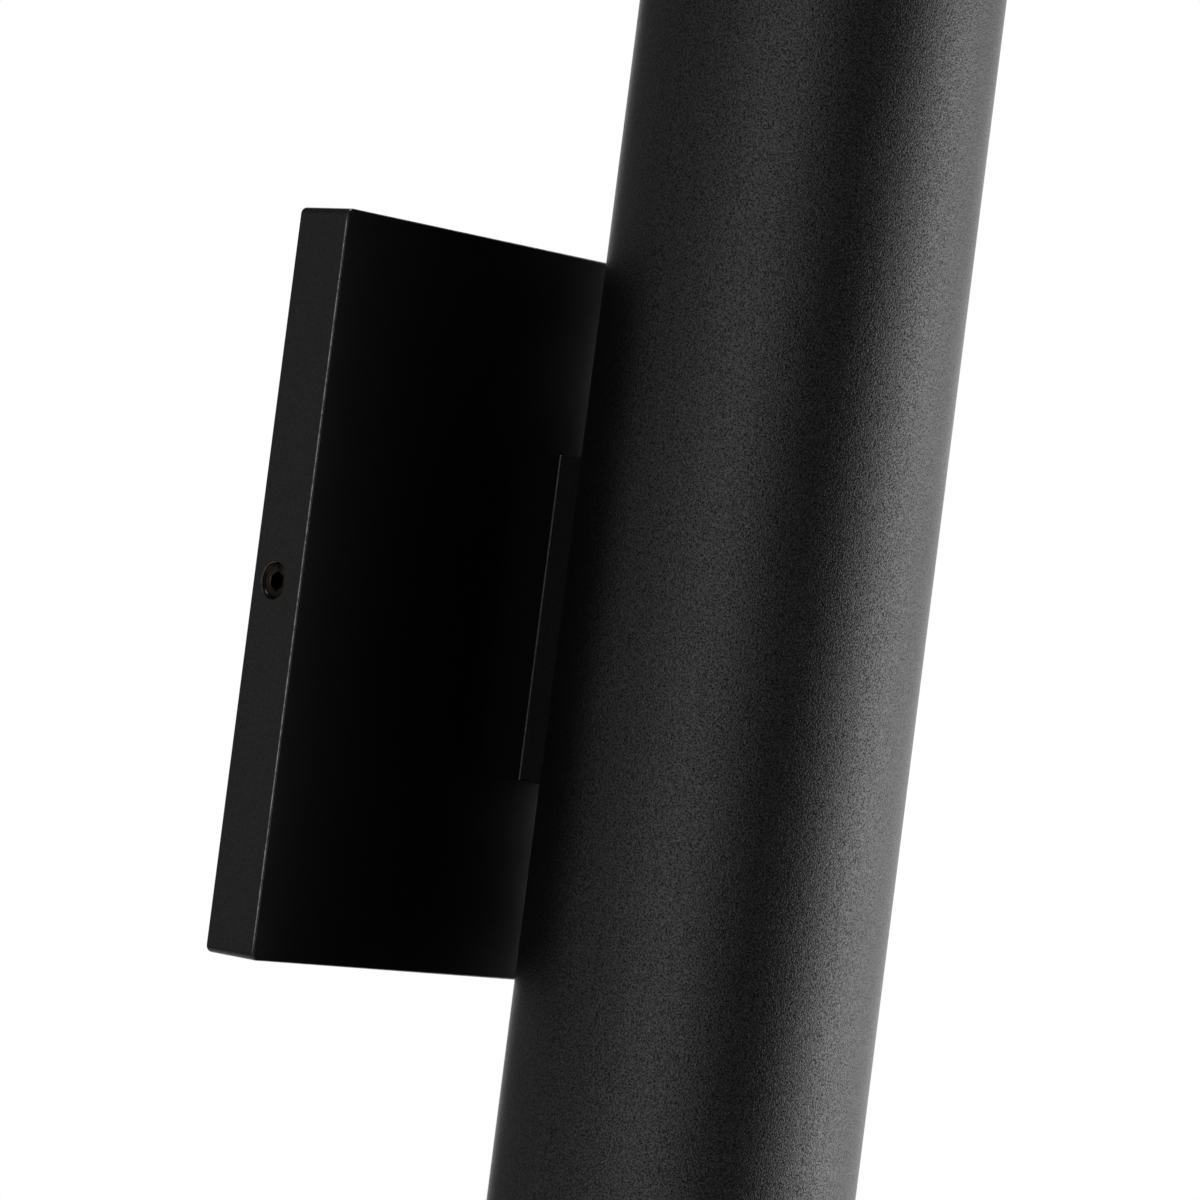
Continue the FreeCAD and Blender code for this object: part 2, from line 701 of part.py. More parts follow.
def driver_strap():
    """Thin band across the driver's front, hooked over the tray's flanges."""
    body = new_body("driver_strap", TUBE_AXIS)
    inner = f"({DRIVER_SIDE} + tray_thickness + snug_clearance)"
    outer = f"({inner} + strap_thickness)"
    front = f"({DRIVER_BACK} - driver_depth - snug_clearance)"
    back = f"({TRAY_FRONT} - tray_flange_depth / 2)"
    band = sketch_on(body, "XY_Plane", f"(driver_start + {DRIVER_END}) / 2")
    outline(band, [(f"-{outer}", back), (f"-{outer}", f"{front} - strap_thickness"),
                   (outer, f"{front} - strap_thickness"), (outer, back),
                   (inner, back), (inner, front), (f"-{inner}", front), (f"-{inner}", back)])
    pad(body, band, "strap_width", symmetric=True)


# ------------------------------------------------------------ lamp ends

def heat_sink(end):
    """Cup with radial fins under its floor; its rim carries the reflector."""
    body = new_body(end + "_heat_sink", TUBE_AXIS, end)
    profile = sketch_on(body, "XZ_Plane")
    rim = f"({SINK_RADIUS} - sink_rim)"
    outline(profile, [("0", SINK_UNDER), (SINK_RADIUS, SINK_UNDER),
                      (SINK_RADIUS, REFLECTOR_SEAT), (rim, REFLECTOR_SEAT),
                      (rim, SINK_TOP), ("0", SINK_TOP)])
    revolve(body, profile)
    fin = sketch_on(body, "XY_Plane", SINK_UNDER)
    rectangle(fin, "fin_inner", FIN_OUTER, "-fin_thickness / 2", "fin_thickness / 2")
    blade = pad(body, fin, "fin_length", reverse=True)
    pattern = body.newObject("PartDesign::PolarPattern", body.Label + "_fins")
    pattern.Originals = [blade]
    pattern.Axis = (fin, ["N_Axis"])
    pattern.Angle = 360
    bind(pattern, "Occurrences", "fin_count")
    body.Tip = pattern
    holes = sketch_on(body, "XY_Plane", SINK_TOP)
    for sign in ("-", ""):
        circle(holes, "lead_hole_diameter / 2", f"{sign}led_lead_pitch / 2", "led_lead_offset")
    pocket(body, holes, "sink_base")
    threaded = sketch_on(body, "XZ_Plane", f"-({TUBE_RADIUS})")
    circle(threaded, "sink_screw_diameter / 2 + thread_clearance", "0", SINK_SCREW_HEIGHT)
    pocket(body, threaded, "sink_screw_length + running_gap", along_normal=True)


def flat_disc(label, end, top, thickness, radius, lead_holes=False):
    """A round disc on the tube's axis, with holes for the leads if they pass."""
    body = new_body(label, TUBE_AXIS, end)
    face = sketch_on(body, "XY_Plane", f"{top} - {thickness}")
    circle(face, radius)
    if lead_holes:
        for sign in ("-", ""):
            circle(face, "lead_hole_diameter / 2", f"{sign}led_lead_pitch / 2",
                   "led_lead_offset")
    pad(body, face, thickness)
    return body


def reflector(end):
    """Spun cone from the emitter out to a flange on the heat sink's rim."""
    body = new_body(end + "_reflector", TUBE_AXIS, end)
    profile = sketch_on(body, "XZ_Plane")
    mouth = REFLECTOR_MOUTH
    base = "reflector_base / 2"
    floor = f"({BOARD_TOP} + running_gap)"
    waist = f"({BOARD_TOP} + reflector_depth / 3)"
    belly = f"(reflector_base / 4 + {REFLECTOR_MOUTH} / 2)"
    outline(profile, [(base, floor), (belly, waist), (mouth, REFLECTOR_TOP),
                      (INNER_RIM, REFLECTOR_TOP), (INNER_RIM, REFLECTOR_SEAT),
                      (f"{mouth} + reflector_wall", REFLECTOR_SEAT),
                      (f"{belly} + reflector_wall", waist),
                      (f"{base} + reflector_wall", floor)])
    revolve(body, profile)


def gasket(end):
    body = new_body(end + "_gasket", TUBE_AXIS, end)
    ring = sketch_on(body, "XY_Plane", LENS_TOP)
    circle(ring, INNER_RIM)
    circle(ring, GASKET_BORE)
    pad(body, ring, "gasket_thickness")


def retaining_ring(end):
    """Threaded bezel that clamps the lens, with two spanner notches."""
    body = new_body(end + "_retaining_ring", TUBE_AXIS, end)
    profile = sketch_on(body, "XZ_Plane")
    rim = f"({TUBE_BORE} - ring_fit)"
    foot = f"({RING_TOP} - ring_height)"
    outline(profile, [(RING_THROAT, foot), (rim, foot), (rim, RING_TOP),
                      (RING_MOUTH, RING_TOP)])
    revolve(body, profile)
    notches = sketch_on(body, "XY_Plane", RING_TOP)
    for side in ("-", ""):
        rectangle(notches, f"{side}{RING_MOUTH} - ring_notch_width",
                  f"{side}{RING_MOUTH} + ring_notch_width",
                  "-ring_notch_width / 2", "ring_notch_width / 2")
    pocket(body, notches, "ring_notch_depth")


def sink_screw(end):
    """Countersunk screw from the back of the tube into the heat sink."""
    body = new_body(end + "_sink_screw", TUBE_AXIS, end)
    profile = sketch_on(body, "YZ_Plane")
    face = f"({TUBE_RADIUS} - snug_clearance)"
    head = "sink_head_diameter / 2"
    shank = "sink_screw_diameter / 2"
    tip = f"({face} - sink_screw_length)"
    height = SINK_SCREW_HEIGHT
    outline(profile, [(face, height), (tip, height), (tip, f"{height} + {shank}"),
                      (f"{face} - {head} + {shank}", f"{height} + {shank}"),
                      (face, f"{height} + {head}")])
    line = profile.addGeometry(
        Part.LineSegment(vector(0, number(height)), vector(number(tip), number(height))), True)
    pin_point(profile, line, 1, "0", height)
    pin_point(profile, line, 2, f"{tip} / 2", height)
    revolve(body, profile, "Axis0")


def lamp_end(end):
    """Every piece of one end, from the heat sink out to the ring."""
    heat_sink(end)
    flat_disc(end + "_thermal_pad", end, PAD_TOP, "pad_thickness",
              "board_diameter / 2", lead_holes=True)
    flat_disc(end + "_led_board", end, BOARD_TOP, "board_thickness",
              "board_diameter / 2", lead_holes=True)
    flat_disc(end + "_led_emitter", end, f"({BOARD_TOP} + emitter_height)",
              "emitter_height", "emitter_diameter / 2")
    reflector(end)
    flat_disc(end + "_lens", end, LENS_TOP, "lens_thickness", INNER_RIM)
    gasket(end)
    retaining_ring(end)
    sink_screw(end)


# ---------------------------------------------------------------- leads

def rounded_path(corners, bend_limits):
    """Straight runs joined by tangent arcs, as large as runs and limits allow."""
    edges = []
    start = corners[0]
    for before, corner, after, limit in zip(corners, corners[1:], corners[2:], bend_limits):
        arriving = (corner - before).normalize()
        leaving = (after - corner).normalize()
        half_turn = arriving.getAngle(leaving) / 2
        shorter = min((corner - before).Length, (after - corner).Length)
        radius = min(limit, BEND_SHARE * shorter / math.tan(half_turn))
        reach = radius * math.tan(half_turn)
        first, last = corner - arriving * reach, corner + leaving * reach
        inward = (leaving - arriving).normalize()
        middle = corner + inward * (radius / math.cos(half_turn) - radius)
        print(f"  lead bend radius {radius:.1f} mm")
        edges.append(Part.LineSegment(start, first).toShape())
        edges.append(Part.Arc(first, middle, last).toShape())
        start = last
    edges.append(Part.LineSegment(start, corners[-1]).toShape())
    return Part.Wire(edges)


def lead(corners, bend_limits=()):
    """One insulated lead, a round tube of material along its route."""
    path = rounded_path(corners, bend_limits)
    radius = number("lead_diameter / 2")
    section = Part.Circle(corners[0], corners[1] - corners[0], radius).toShape()
    solid = path.makePipeShell([Part.Wire([section])], True, False)
    wanted = math.pi * radius ** 2 * path.Length
    print(f"  lead {path.Length:.1f} mm long, volume {solid.Volume / wanted:.4f} of section x length")
    return solid


def lead_node(label, leads):
    """A pair of leads, each a solid of its own, as one sub-part."""
    node = DOC.addObject("Part::Feature", label)
    node.Label = label
    node.Shape = Part.makeCompound(leads)
    node.Placement = FreeCAD.Placement()
    PARTS.append(node)


def supply_lead(sign):
    """From the terminal block, through the passage and up into the driver.

    The two leads turn up one behind the other, about the same centre.
    """
    entry_x = number(TERMINAL_RIGHT)
    run_y = -number("terminal_lead_out")
    wide_z = sign * number("terminal_pitch / 2")
    close_z = sign * number("lead_pitch / 2")
    turn_y = -number(f"{TUBE_AXIS} - supply_rise") + (sign - 1) * number("lead_pitch / 2")
    corners = [vector(entry_x, run_y, wide_z),
               vector(entry_x * 0.8, run_y, wide_z),
               vector(entry_x * 0.5, run_y, close_z),
               vector(0, run_y, close_z),
               vector(0, turn_y, close_z),
               vector(0, turn_y, number("driver_start"))]
    tight = number("lead_bend")
    upward = number("supply_bend") + (1 - sign) * number("lead_pitch / 2")
    return lead(corners, (math.inf, math.inf, tight, upward))


def led_leads(end):
    """Two straight leads from the driver's end through the heat sink's floor."""
    sign = 1 if end == "upper" else -1
    start_z = number(DRIVER_END) if end == "upper" else number("driver_start")
    end_z = sign * number(f"{BOARD_TOP} + lead_stand")
    y = -number(f"{TUBE_AXIS} - led_lead_offset")
    half = number("led_lead_pitch / 2")
    routes = [[vector(x, y, start_z), vector(x, y, end_z)] for x in (-half, half)]
    lead_node(end + "_led_leads", [lead(route) for route in routes])


# ---------------------------------------------------------------- build

def build():
    wall_bracket()
    ground_screw()
    canopy_cover()
    for side in ("left", "right"):
        screw_bush(side)
        set_screw(side)
    standoff_block()
    arm_screws()
    grommet()
    terminal_block()
    terminal_screws()
    tube()
    nut_bar()
    driver_tray()
    tray_screws()
    driver()
    driver_strap()
    for end in ("upper", "lower"):
        lamp_end(end)
        led_leads(end)
    lead_node("supply_leads", [supply_lead(1), supply_lead(-1)])
    DOC.recompute()


def check():
    """Stop at any object that failed, or any sub-part that isn't sound."""
    for thing in DOC.Objects:
        if "Invalid" in thing.State or "Error" in thing.State:
            raise RuntimeError(f"{thing.Label} failed: {thing.State}")
    for node in PARTS:
        if node.Shape.isNull() or not node.Shape.isValid():
            raise RuntimeError(f"{node.Label} has no sound shape")
        print(f"{node.Label}: {len(node.Shape.Solids)} solid, {node.Shape.Volume:.0f} mm3")


def write():
    os.makedirs("parts", exist_ok=True)
    for node in PARTS:
        node.Shape.exportStep(f"parts/{node.Label}.step")
    print(f"{len(PARTS)} sub-parts written")


build()
check()
write()
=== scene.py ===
# %% [markdown]
# # A tube wall light in satin black
# The lamp is a round tube that throws light up and down a wall. A narrow
# upright block holds the tube off a flat square cover, and one small socket
# screw in each side of the cover clamps it to a bracket on the wall.
# The measured model comes first, as a frame: each piece made below takes its
# place and its size from it, so nothing has to be fitted by eye.

# %% Load the frame
import json
from math import cos, pi, radians, sin, sqrt, tau

import bmesh
import bpy
from mathutils import Matrix, Vector

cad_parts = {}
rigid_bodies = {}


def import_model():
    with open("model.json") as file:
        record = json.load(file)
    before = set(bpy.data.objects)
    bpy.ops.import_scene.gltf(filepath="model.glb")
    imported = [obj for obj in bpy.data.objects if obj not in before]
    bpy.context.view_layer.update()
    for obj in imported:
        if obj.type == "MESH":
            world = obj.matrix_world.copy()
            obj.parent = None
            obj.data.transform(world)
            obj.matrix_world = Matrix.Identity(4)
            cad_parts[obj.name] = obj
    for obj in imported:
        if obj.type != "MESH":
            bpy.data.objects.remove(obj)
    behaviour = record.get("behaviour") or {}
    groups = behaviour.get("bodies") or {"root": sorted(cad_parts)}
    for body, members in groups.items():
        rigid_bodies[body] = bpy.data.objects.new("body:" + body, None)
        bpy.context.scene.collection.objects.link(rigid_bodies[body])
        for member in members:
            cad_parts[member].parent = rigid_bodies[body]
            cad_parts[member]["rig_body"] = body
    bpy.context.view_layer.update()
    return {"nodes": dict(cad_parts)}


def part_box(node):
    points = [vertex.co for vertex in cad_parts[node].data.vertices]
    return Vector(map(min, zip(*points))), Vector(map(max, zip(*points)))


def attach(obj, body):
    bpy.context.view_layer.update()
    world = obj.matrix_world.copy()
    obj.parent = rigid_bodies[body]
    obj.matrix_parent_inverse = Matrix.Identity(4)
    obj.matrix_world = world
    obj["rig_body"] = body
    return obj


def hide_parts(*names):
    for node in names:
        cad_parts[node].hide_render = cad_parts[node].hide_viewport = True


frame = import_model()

MM = 0.001
ENDS = {"upper": 1, "lower": -1}
print("pieces in the frame:", len(frame["nodes"]))

# %% [markdown]
# ## Nodes in few words
# Shaders and geometry trees are both made of nodes, so one helper serves for
# both: it adds a node, sets its options, and then sets or links each input.
# A plain number is put straight on the socket, where an export can read it.

# %% A helper for nodes
def add(tree, kind, inputs=None, **options):
    """Add a node; an input that is itself a socket is linked."""
    node = tree.nodes.new(kind)
    for option, value in options.items():
        setattr(node, option, value)
    for name, value in (inputs or {}).items():
        if isinstance(value, bpy.types.NodeSocket):
            tree.links.new(value, node.inputs[name])
        else:
            node.inputs[name].default_value = value
    return node


def maths(tree, operation, first, second=0.0):
    """One step of arithmetic on numbers or sockets."""
    return add(tree, "ShaderNodeMath", {0: first, 1: second},
               operation=operation).outputs[0]


def plus(tree, first, second):
    return maths(tree, "ADD", first, second)


def minus(tree, first, second):
    return maths(tree, "SUBTRACT", first, second)


def times(tree, first, second):
    return maths(tree, "MULTIPLY", first, second)


def stretch_range(tree, value, low, high, new_low, new_high):
    """Carry a value from one range to another, and hold it there."""
    return add(tree, "ShaderNodeMapRange",
               {"Value": value, "From Min": low, "From Max": high,
                "To Min": new_low, "To Max": new_high}).outputs["Result"]


def ramp(tree, value, stops):
    """A row of colours or greys along a value."""
    node = add(tree, "ShaderNodeValToRGB", {"Fac": value})
    steps = node.color_ramp.elements
    while len(steps) < len(stops):
        steps.new(0.5)
    for step, (place, colour) in zip(steps, stops):
        step.position = place
        step.color = (*colour, 1.0)
    return node.outputs["Color"]


print("node helpers are ready")

# %% [markdown]
# ## How a finish is built
# Every finish starts the same way: a Principled shader, and the object's own
# coordinates in metres, so that a grain of a third of a millimetre is that
# size on every piece. Noise then breaks up the colour and the roughness, and
# a bump gives the surface its tooth. Noise seldom leaves the middle of its
# range, so the middle is what gets stretched over the wanted values.

# %% Start a finish
NOISE_LOW, NOISE_HIGH = 0.3, 0.7


def start_finish(name):
    """A finish with its tree, its shader and the object's own coordinates."""
    finish = bpy.data.materials.new(name)
    finish.use_nodes = True
    tree = finish.node_tree
    place = add(tree, "ShaderNodeTexCoord").outputs["Object"]
    return finish, tree, tree.nodes["Principled BSDF"], place


def grain(tree, place, per_metre, detail=2.0, share=0.5):
    """Noise with a given number of grains to the metre."""
    return add(tree, "ShaderNodeTexNoise",
               {"Vector": place, "Scale": per_metre,
                "Detail": detail, "Roughness": share}).outputs["Fac"]


def vary(tree, noise, low, high):
    """Let a number wander with a noise, from low to high."""
    return stretch_range(tree, noise, NOISE_LOW, NOISE_HIGH, low, high)


def two_tone(tree, noise, dark, light):
    """Let a colour wander with a noise, from dark to light."""
    return ramp(tree, noise, [(NOISE_LOW, dark), (NOISE_HIGH, light)])


def emboss(tree, height, depth, below=None):
    """Turn a height into a bump of that depth, in metres, over any other bump."""
    inputs = {"Height": height, "Distance": depth, "Strength": 1.0}
    if below is not None:
        inputs["Normal"] = below
    return add(tree, "ShaderNodeBump", inputs).outputs["Normal"]


def wire_up(tree, shader, **sockets):
    """Set or link the shader's sockets by their names."""
    for name, value in sockets.items():
        socket = shader.inputs[name.replace("_", " ")]
        if isinstance(value, bpy.types.NodeSocket):
            tree.links.new(value, socket)
        else:
            socket.default_value = value


print("noise is read from", NOISE_LOW, "to", NOISE_HIGH)

# %% [markdown]
# ## Powder coat
# The outside of the lamp is sprayed with black powder and baked. The melted
# grains leave a fine sandy skin, about three to the millimetre, on top of a
# slower unevenness. It is nearly black in itself, so what the eye reads is
# the soft reflection of the room. The grains are drawn mostly by how much
# each one mirrors, because a deep bump would blur that reflection.
# Along the cover's front edge the melt draws back and shines a little more.

# %% Powder coat
low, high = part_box("canopy_cover")
COVER_HALF = high.x
COVER_DEEP = -low.y
EDGE = 0.35 * MM
CORNER_FADE = (3.0 * MM, 1.5 * MM)
EDGE_SHINE = (1.4, 4.4)


def thin_edge(tree, place, speckle, half, depth):
    """How much glossier the coat is where it draws back from the front edge."""
    x, y, z = add(tree, "ShaderNodeSeparateXYZ", {0: place}).outputs
    x, z = maths(tree, "ABSOLUTE", x), maths(tree, "ABSOLUTE", z)
    aside = minus(tree, maths(tree, "MAXIMUM", x, z), half - EDGE)
    out = minus(tree, times(tree, y, -1.0), depth - EDGE)
    near = stretch_range(tree, maths(tree, "MINIMUM", aside, out),
                         0.1 * EDGE, 0.6 * EDGE, 0.0, 1.0)
    start, stop = CORNER_FADE
    corner = stretch_range(tree, maths(tree, "MINIMUM", x, z),
                           half - start, half - stop, 1.0, 0.0)
    shine = stretch_range(tree, speckle, 0.35, 0.65, *EDGE_SHINE)
    return plus(tree, times(tree, times(tree, near, corner), shine), 1.0)


def powder_coat(name, base=0.0032, rough=0.30, tooth=0.09 * MM, sparkle=0.38, pan=None):
    """Sandy black. A pan of (half, depth) has thin coat along its front edge."""
    finish, tree, shader, place = start_finish(name)
    fine = grain(tree, place, 3600.0, 1.0)
    broad = grain(tree, place, 1100.0, 1.0)
    cloud = grain(tree, place, 45.0)
    colour = ramp(tree, fine, [(0.35, (base * 0.6,) * 3), (0.65, (base * 1.6,) * 3)])
    skin = emboss(tree, broad, tooth * 0.2)
    skin = emboss(tree, fine, tooth, skin)
    gloss = vary(tree, fine, 0.5 - sparkle, 0.5 + sparkle)
    if pan is not None:
        gloss = times(tree, gloss, thin_edge(tree, place, broad, *pan))
    wire_up(tree, shader, Base_Color=colour, Normal=skin, Specular_IOR_Level=gloss,
            Roughness=vary(tree, cloud, rough - 0.02, rough + 0.03))
    return finish


powder_black = powder_coat("powder_black")
ring_black = powder_coat("ring_black")
block_black = powder_coat("block_black", rough=0.34, tooth=0.05 * MM, sparkle=0.15)
cover_black = powder_coat("cover_black", base=0.0015, rough=0.18, tooth=0.01 * MM,
                          sparkle=0.12, pan=(COVER_HALF, COVER_DEEP))
print("powder coats:", powder_black.name, ring_black.name, block_black.name,
      cover_black.name)

# %% [markdown]
# ## Bare and plated metals
# The hardware behind the cover isn't painted. Zinc plate is pale and faintly
# bluish with a soft mottle, black oxide is a thin dark skin on steel, brass is
# warm, and cast aluminium has a dull sandy face. They share one recipe: a
# metal whose colour wanders a little, with a mottle for the roughness.

# %% Metals
def metal(name, dark, light, rough, per_metre=700.0, depth=0.008 * MM):
    finish, tree, shader, place = start_finish(name)
    mottle = grain(tree, place, per_metre, 3.0, 0.55)
    patch = grain(tree, place, per_metre / 9)
    wire_up(tree, shader, Metallic=1.0, Base_Color=two_tone(tree, patch, dark, light),
            Roughness=vary(tree, mottle, rough * 0.8, rough * 1.25),
            Normal=emboss(tree, mottle, depth))
    print("metal:", finish.name)
    return finish


zinc_steel = metal("zinc_steel", (0.50, 0.52, 0.55), (0.66, 0.67, 0.69), 0.34)
black_oxide = metal("black_oxide", (0.028, 0.021, 0.017), (0.062, 0.045, 0.035), 0.24)
brass = metal("brass", (0.62, 0.42, 0.16), (0.76, 0.55, 0.24), 0.28)
earth_green = metal("earth_green", (0.03, 0.20, 0.07), (0.06, 0.32, 0.12), 0.36)
cast_aluminium = metal("cast_aluminium", (0.48, 0.48, 0.49), (0.60, 0.60, 0.61),
                       0.52, 1600.0, 0.03 * MM)
bright_aluminium = metal("bright_aluminium", (0.80, 0.80, 0.81), (0.90, 0.90, 0.91),
                         0.16, 900.0, 0.004 * MM)

# %% [markdown]
# ## Moulded parts, rubber, board and glass
# The small inner parts are moulded. Each gets a fine mould grain and a slight
# change of tone, so that none is a flat colour. The light source is a yellow
# phosphor pad, and the cover glass is clear with a trace of haze.

# %% Moulded parts
def moulded(name, dark, light, rough, per_metre=900.0, depth=0.01 * MM, soft=0.0):
    """A matt grain; a soft one lets a little light into its skin."""
    finish, tree, shader, place = start_finish(name)
    pores = grain(tree, place, per_metre)
    tone = grain(tree, place, per_metre / 12)
    wire_up(tree, shader, Base_Color=two_tone(tree, tone, dark, light),
            Roughness=vary(tree, pores, rough * 0.9, rough * 1.1),
            Normal=emboss(tree, pores, depth))
    if soft:
        wire_up(tree, shader, Subsurface_Weight=soft, Subsurface_Scale=0.5,
                Subsurface_Radius=(2.0 * MM, 1.8 * MM, 1.5 * MM))
    print("moulded:", finish.name)
    return finish


def clear_pane(name):
    finish, tree, shader, place = start_finish(name)
    haze = grain(tree, place, 120.0)
    wire_up(tree, shader, Transmission_Weight=1.0, IOR=1.46,
            Base_Color=two_tone(tree, haze, (0.96, 0.98, 0.97), (0.98, 0.99, 0.985)),
            Roughness=vary(tree, haze, 0.01, 0.04))
    return finish


black_rubber = moulded("black_rubber", (0.012,) * 3, (0.020,) * 3, 0.6)
white_silicone = moulded("white_silicone", (0.70, 0.70, 0.68), (0.80, 0.80, 0.78), 0.5,
                         soft=0.1)
terminal_white = moulded("terminal_white", (0.74, 0.73, 0.69), (0.82, 0.81, 0.77), 0.42)
driver_white = moulded("driver_white", (0.72, 0.72, 0.71), (0.80, 0.80, 0.79), 0.48)
thermal_grey = moulded("thermal_grey", (0.30, 0.31, 0.33), (0.38, 0.39, 0.41), 0.7)
board_white = moulded("board_white", (0.76, 0.77, 0.76), (0.83, 0.84, 0.83), 0.3,
                      500.0, 0.004 * MM)
phosphor_yellow = moulded("phosphor_yellow", (0.75, 0.55, 0.06), (0.86, 0.66, 0.10),
                          0.35, 2500.0)
lead_white = moulded("lead_white", (0.74, 0.74, 0.72), (0.80, 0.80, 0.78), 0.4,
                     500.0, 0.005 * MM)
lead_red = moulded("lead_red", (0.42, 0.02, 0.02), (0.52, 0.03, 0.025), 0.4,
                   500.0, 0.005 * MM)
clear_glass = clear_pane("clear_glass")
print("glass:", clear_glass.name)

# %% [markdown]
# ## Dressing the frame's own pieces
# Some pieces sit deep inside the lamp, and the frame already has their shape
# right: small screws, pads, boards and leads. They keep their mesh and only
# change finish.

# %% Dress the kept pieces
def dress(finish, *names):
    for name in names:
        finishes = frame["nodes"][name].data.materials
        finishes.clear()
        finishes.append(finish)
    print(finish.name, "on", *names)


dress(lead_white, "supply_leads")
for end in ENDS:
    dress(zinc_steel, end + "_tray_screw", end + "_terminal_screw")
    dress(thermal_grey, end + "_thermal_pad")
    dress(board_white, end + "_led_board")
    dress(lead_red, end + "_led_leads")

# %% [markdown]
# ## From a mesh to a finished piece
# A new piece is linked to the scene at the origin. Its modifiers are then
# applied, its smooth parts shaded smooth up to a crease angle, and flat faces
# made to rule the shading of the rounds beside them. Last it rides on its
# node's body and stands in for the node. The frame's own finishes hold the
# plain names, so Blender adds a number to ours.

# %% Finish a piece
def put(name, mesh):
    """Link a mesh to the scene as an object at the origin."""
    piece = bpy.data.objects.new(name, mesh)
    bpy.context.scene.collection.objects.link(piece)
    return piece


def settle(piece):
    """Apply what the modifiers make, and take them off."""
    bpy.context.view_layer.update()
    seen = piece.evaluated_get(bpy.context.evaluated_depsgraph_get())
    mesh = bpy.data.meshes.new_from_object(seen)
    piece.modifiers.clear()
    piece.data = mesh


def hand_over(piece, node, finish, crease=35.0):
    """Shade the piece and let it stand in for its node."""
    piece.data.shade_smooth()
    piece.data.set_sharp_from_angle(angle=radians(crease))
    even = piece.modifiers.new("even shading", "WEIGHTED_NORMAL")
    even.keep_sharp = True
    even.weight = 100
    settle(piece)
    piece.data.materials.clear()
    piece.data.materials.append(finish)
    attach(piece, frame["nodes"][node]["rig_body"])
    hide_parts(node)
    print(piece.name, "faces:", len(piece.data.polygons))


# %% [markdown]
# ## A recipe in geometry nodes
# A geometry tree is a recipe: named sizes go in, a mesh comes out. The recipe
# is run once for each piece that needs it, the result is copied out as a
# plain mesh, and the modifier is thrown away.

# %% Write and run a recipe
def new_recipe(name, sizes):
    """An empty tree with one input for each size and one for the finish."""
    tree = bpy.data.node_groups.new(name, "GeometryNodeTree")
    for label, value in sizes.items():
        kind = "NodeSocketInt" if isinstance(value, int) else "NodeSocketFloat"
        socket = tree.interface.new_socket(label, in_out="INPUT", socket_type=kind)
        socket.default_value = value
    tree.interface.new_socket("Finish", in_out="INPUT", socket_type="NodeSocketMaterial")
    tree.interface.new_socket("Mesh", in_out="OUTPUT", socket_type="NodeSocketGeometry")
    return tree, tree.nodes.new("NodeGroupInput").outputs


def end_recipe(tree, given, shape):
    """Real geometry with its finish goes to the output."""
    real = add(tree, "GeometryNodeRealizeInstances", {"Geometry": shape}).outputs[0]
    dressed = add(tree, "GeometryNodeSetMaterial",
                  {"Geometry": real, "Material": given["Finish"]}).outputs[0]
    add(tree, "NodeGroupOutput", {"Mesh": dressed})


def run_recipe(tree, name, finish, **sizes):
    """Run a recipe and keep its result as a plain mesh."""
    piece = put(name, bpy.data.meshes.new(name))
    recipe = piece.modifiers.new("recipe", "NODES")
    recipe.node_group = tree
    for item in tree.interface.items_tree:
        if item.in_out == "INPUT":
            label = item.name.replace(" ", "_").lower()
            if label in sizes:
                recipe[item.identifier] = sizes[label]
            elif label == "finish":
                recipe[item.identifier] = finish
    settle(piece)
    return piece


# %% [markdown]
# ## Solids inside a recipe
# Turned metal is rods and cones that are joined to or taken from each other,
# so the recipes share these few steps. A drill is a rod laid along Y, because
# every hole in the lamp's back is drilled square to the wall.

# %% Solids for the recipes
HEXAGON = 6


def spot(tree, x=0.0, y=0.0, z=0.0):
    """A place, from three numbers or sockets."""
    return add(tree, "ShaderNodeCombineXYZ", {0: x, 1: y, 2: z}).outputs[0]


def shift(tree, shape, x=0.0, y=0.0, z=0.0):
    return add(tree, "GeometryNodeSetPosition",
               {"Geometry": shape, "Offset": spot(tree, x, y, z)}).outputs[0]


def rod(tree, radius, length, sides):
    """An upright rod with its middle at the origin."""
    return add(tree, "GeometryNodeMeshCylinder",
               {"Vertices": sides, "Radius": radius, "Depth": length}).outputs["Mesh"]


def cone(tree, bottom, top, length, sides):
    """An upright cone that stands on the origin, from its two radii."""
    return add(tree, "GeometryNodeMeshCone",
               {"Vertices": sides, "Radius Bottom": bottom, "Radius Top": top,
                "Depth": length}).outputs["Mesh"]


def hexagon_key(tree, across, deep):
    """A key with the given width across its flats, to cut a socket that deep."""
    return rod(tree, maths(tree, "DIVIDE", across, sqrt(3)), times(tree, deep, 2.0), HEXAGON)


def join(tree, parts):
    node = add(tree, "GeometryNodeMeshBoolean", operation="UNION", solver="EXACT")
    for part in parts:
        tree.links.new(part, node.inputs["Mesh 2"])
    return node.outputs["Mesh"]


def take_away(tree, shape, parts):
    node = add(tree, "GeometryNodeMeshBoolean", {"Mesh 1": shape},
               operation="DIFFERENCE", solver="EXACT")
    for part in parts:
        tree.links.new(part, node.inputs["Mesh 2"])
    return node.outputs["Mesh"]


def drills(tree, bit, y, count=1, pitch=0.0):
    """Bits in a column, all laid along Y, to cut holes with."""
    lowest = times(tree, pitch, -0.5 * (count - 1))
    column = add(tree, "GeometryNodeMeshLine",
                 {"Count": count, "Start Location": spot(tree, 0.0, y, lowest),
                  "Offset": spot(tree, 0.0, 0.0, pitch)}, mode="OFFSET").outputs[0]
    placed = add(tree, "GeometryNodeInstanceOnPoints",
                 {"Points": column, "Instance": bit,
                  "Rotation": (-pi / 2, 0.0, 0.0)}).outputs[0]
    return add(tree, "GeometryNodeRealizeInstances", {"Geometry": placed}).outputs[0]


print("a socket has", HEXAGON, "flats")

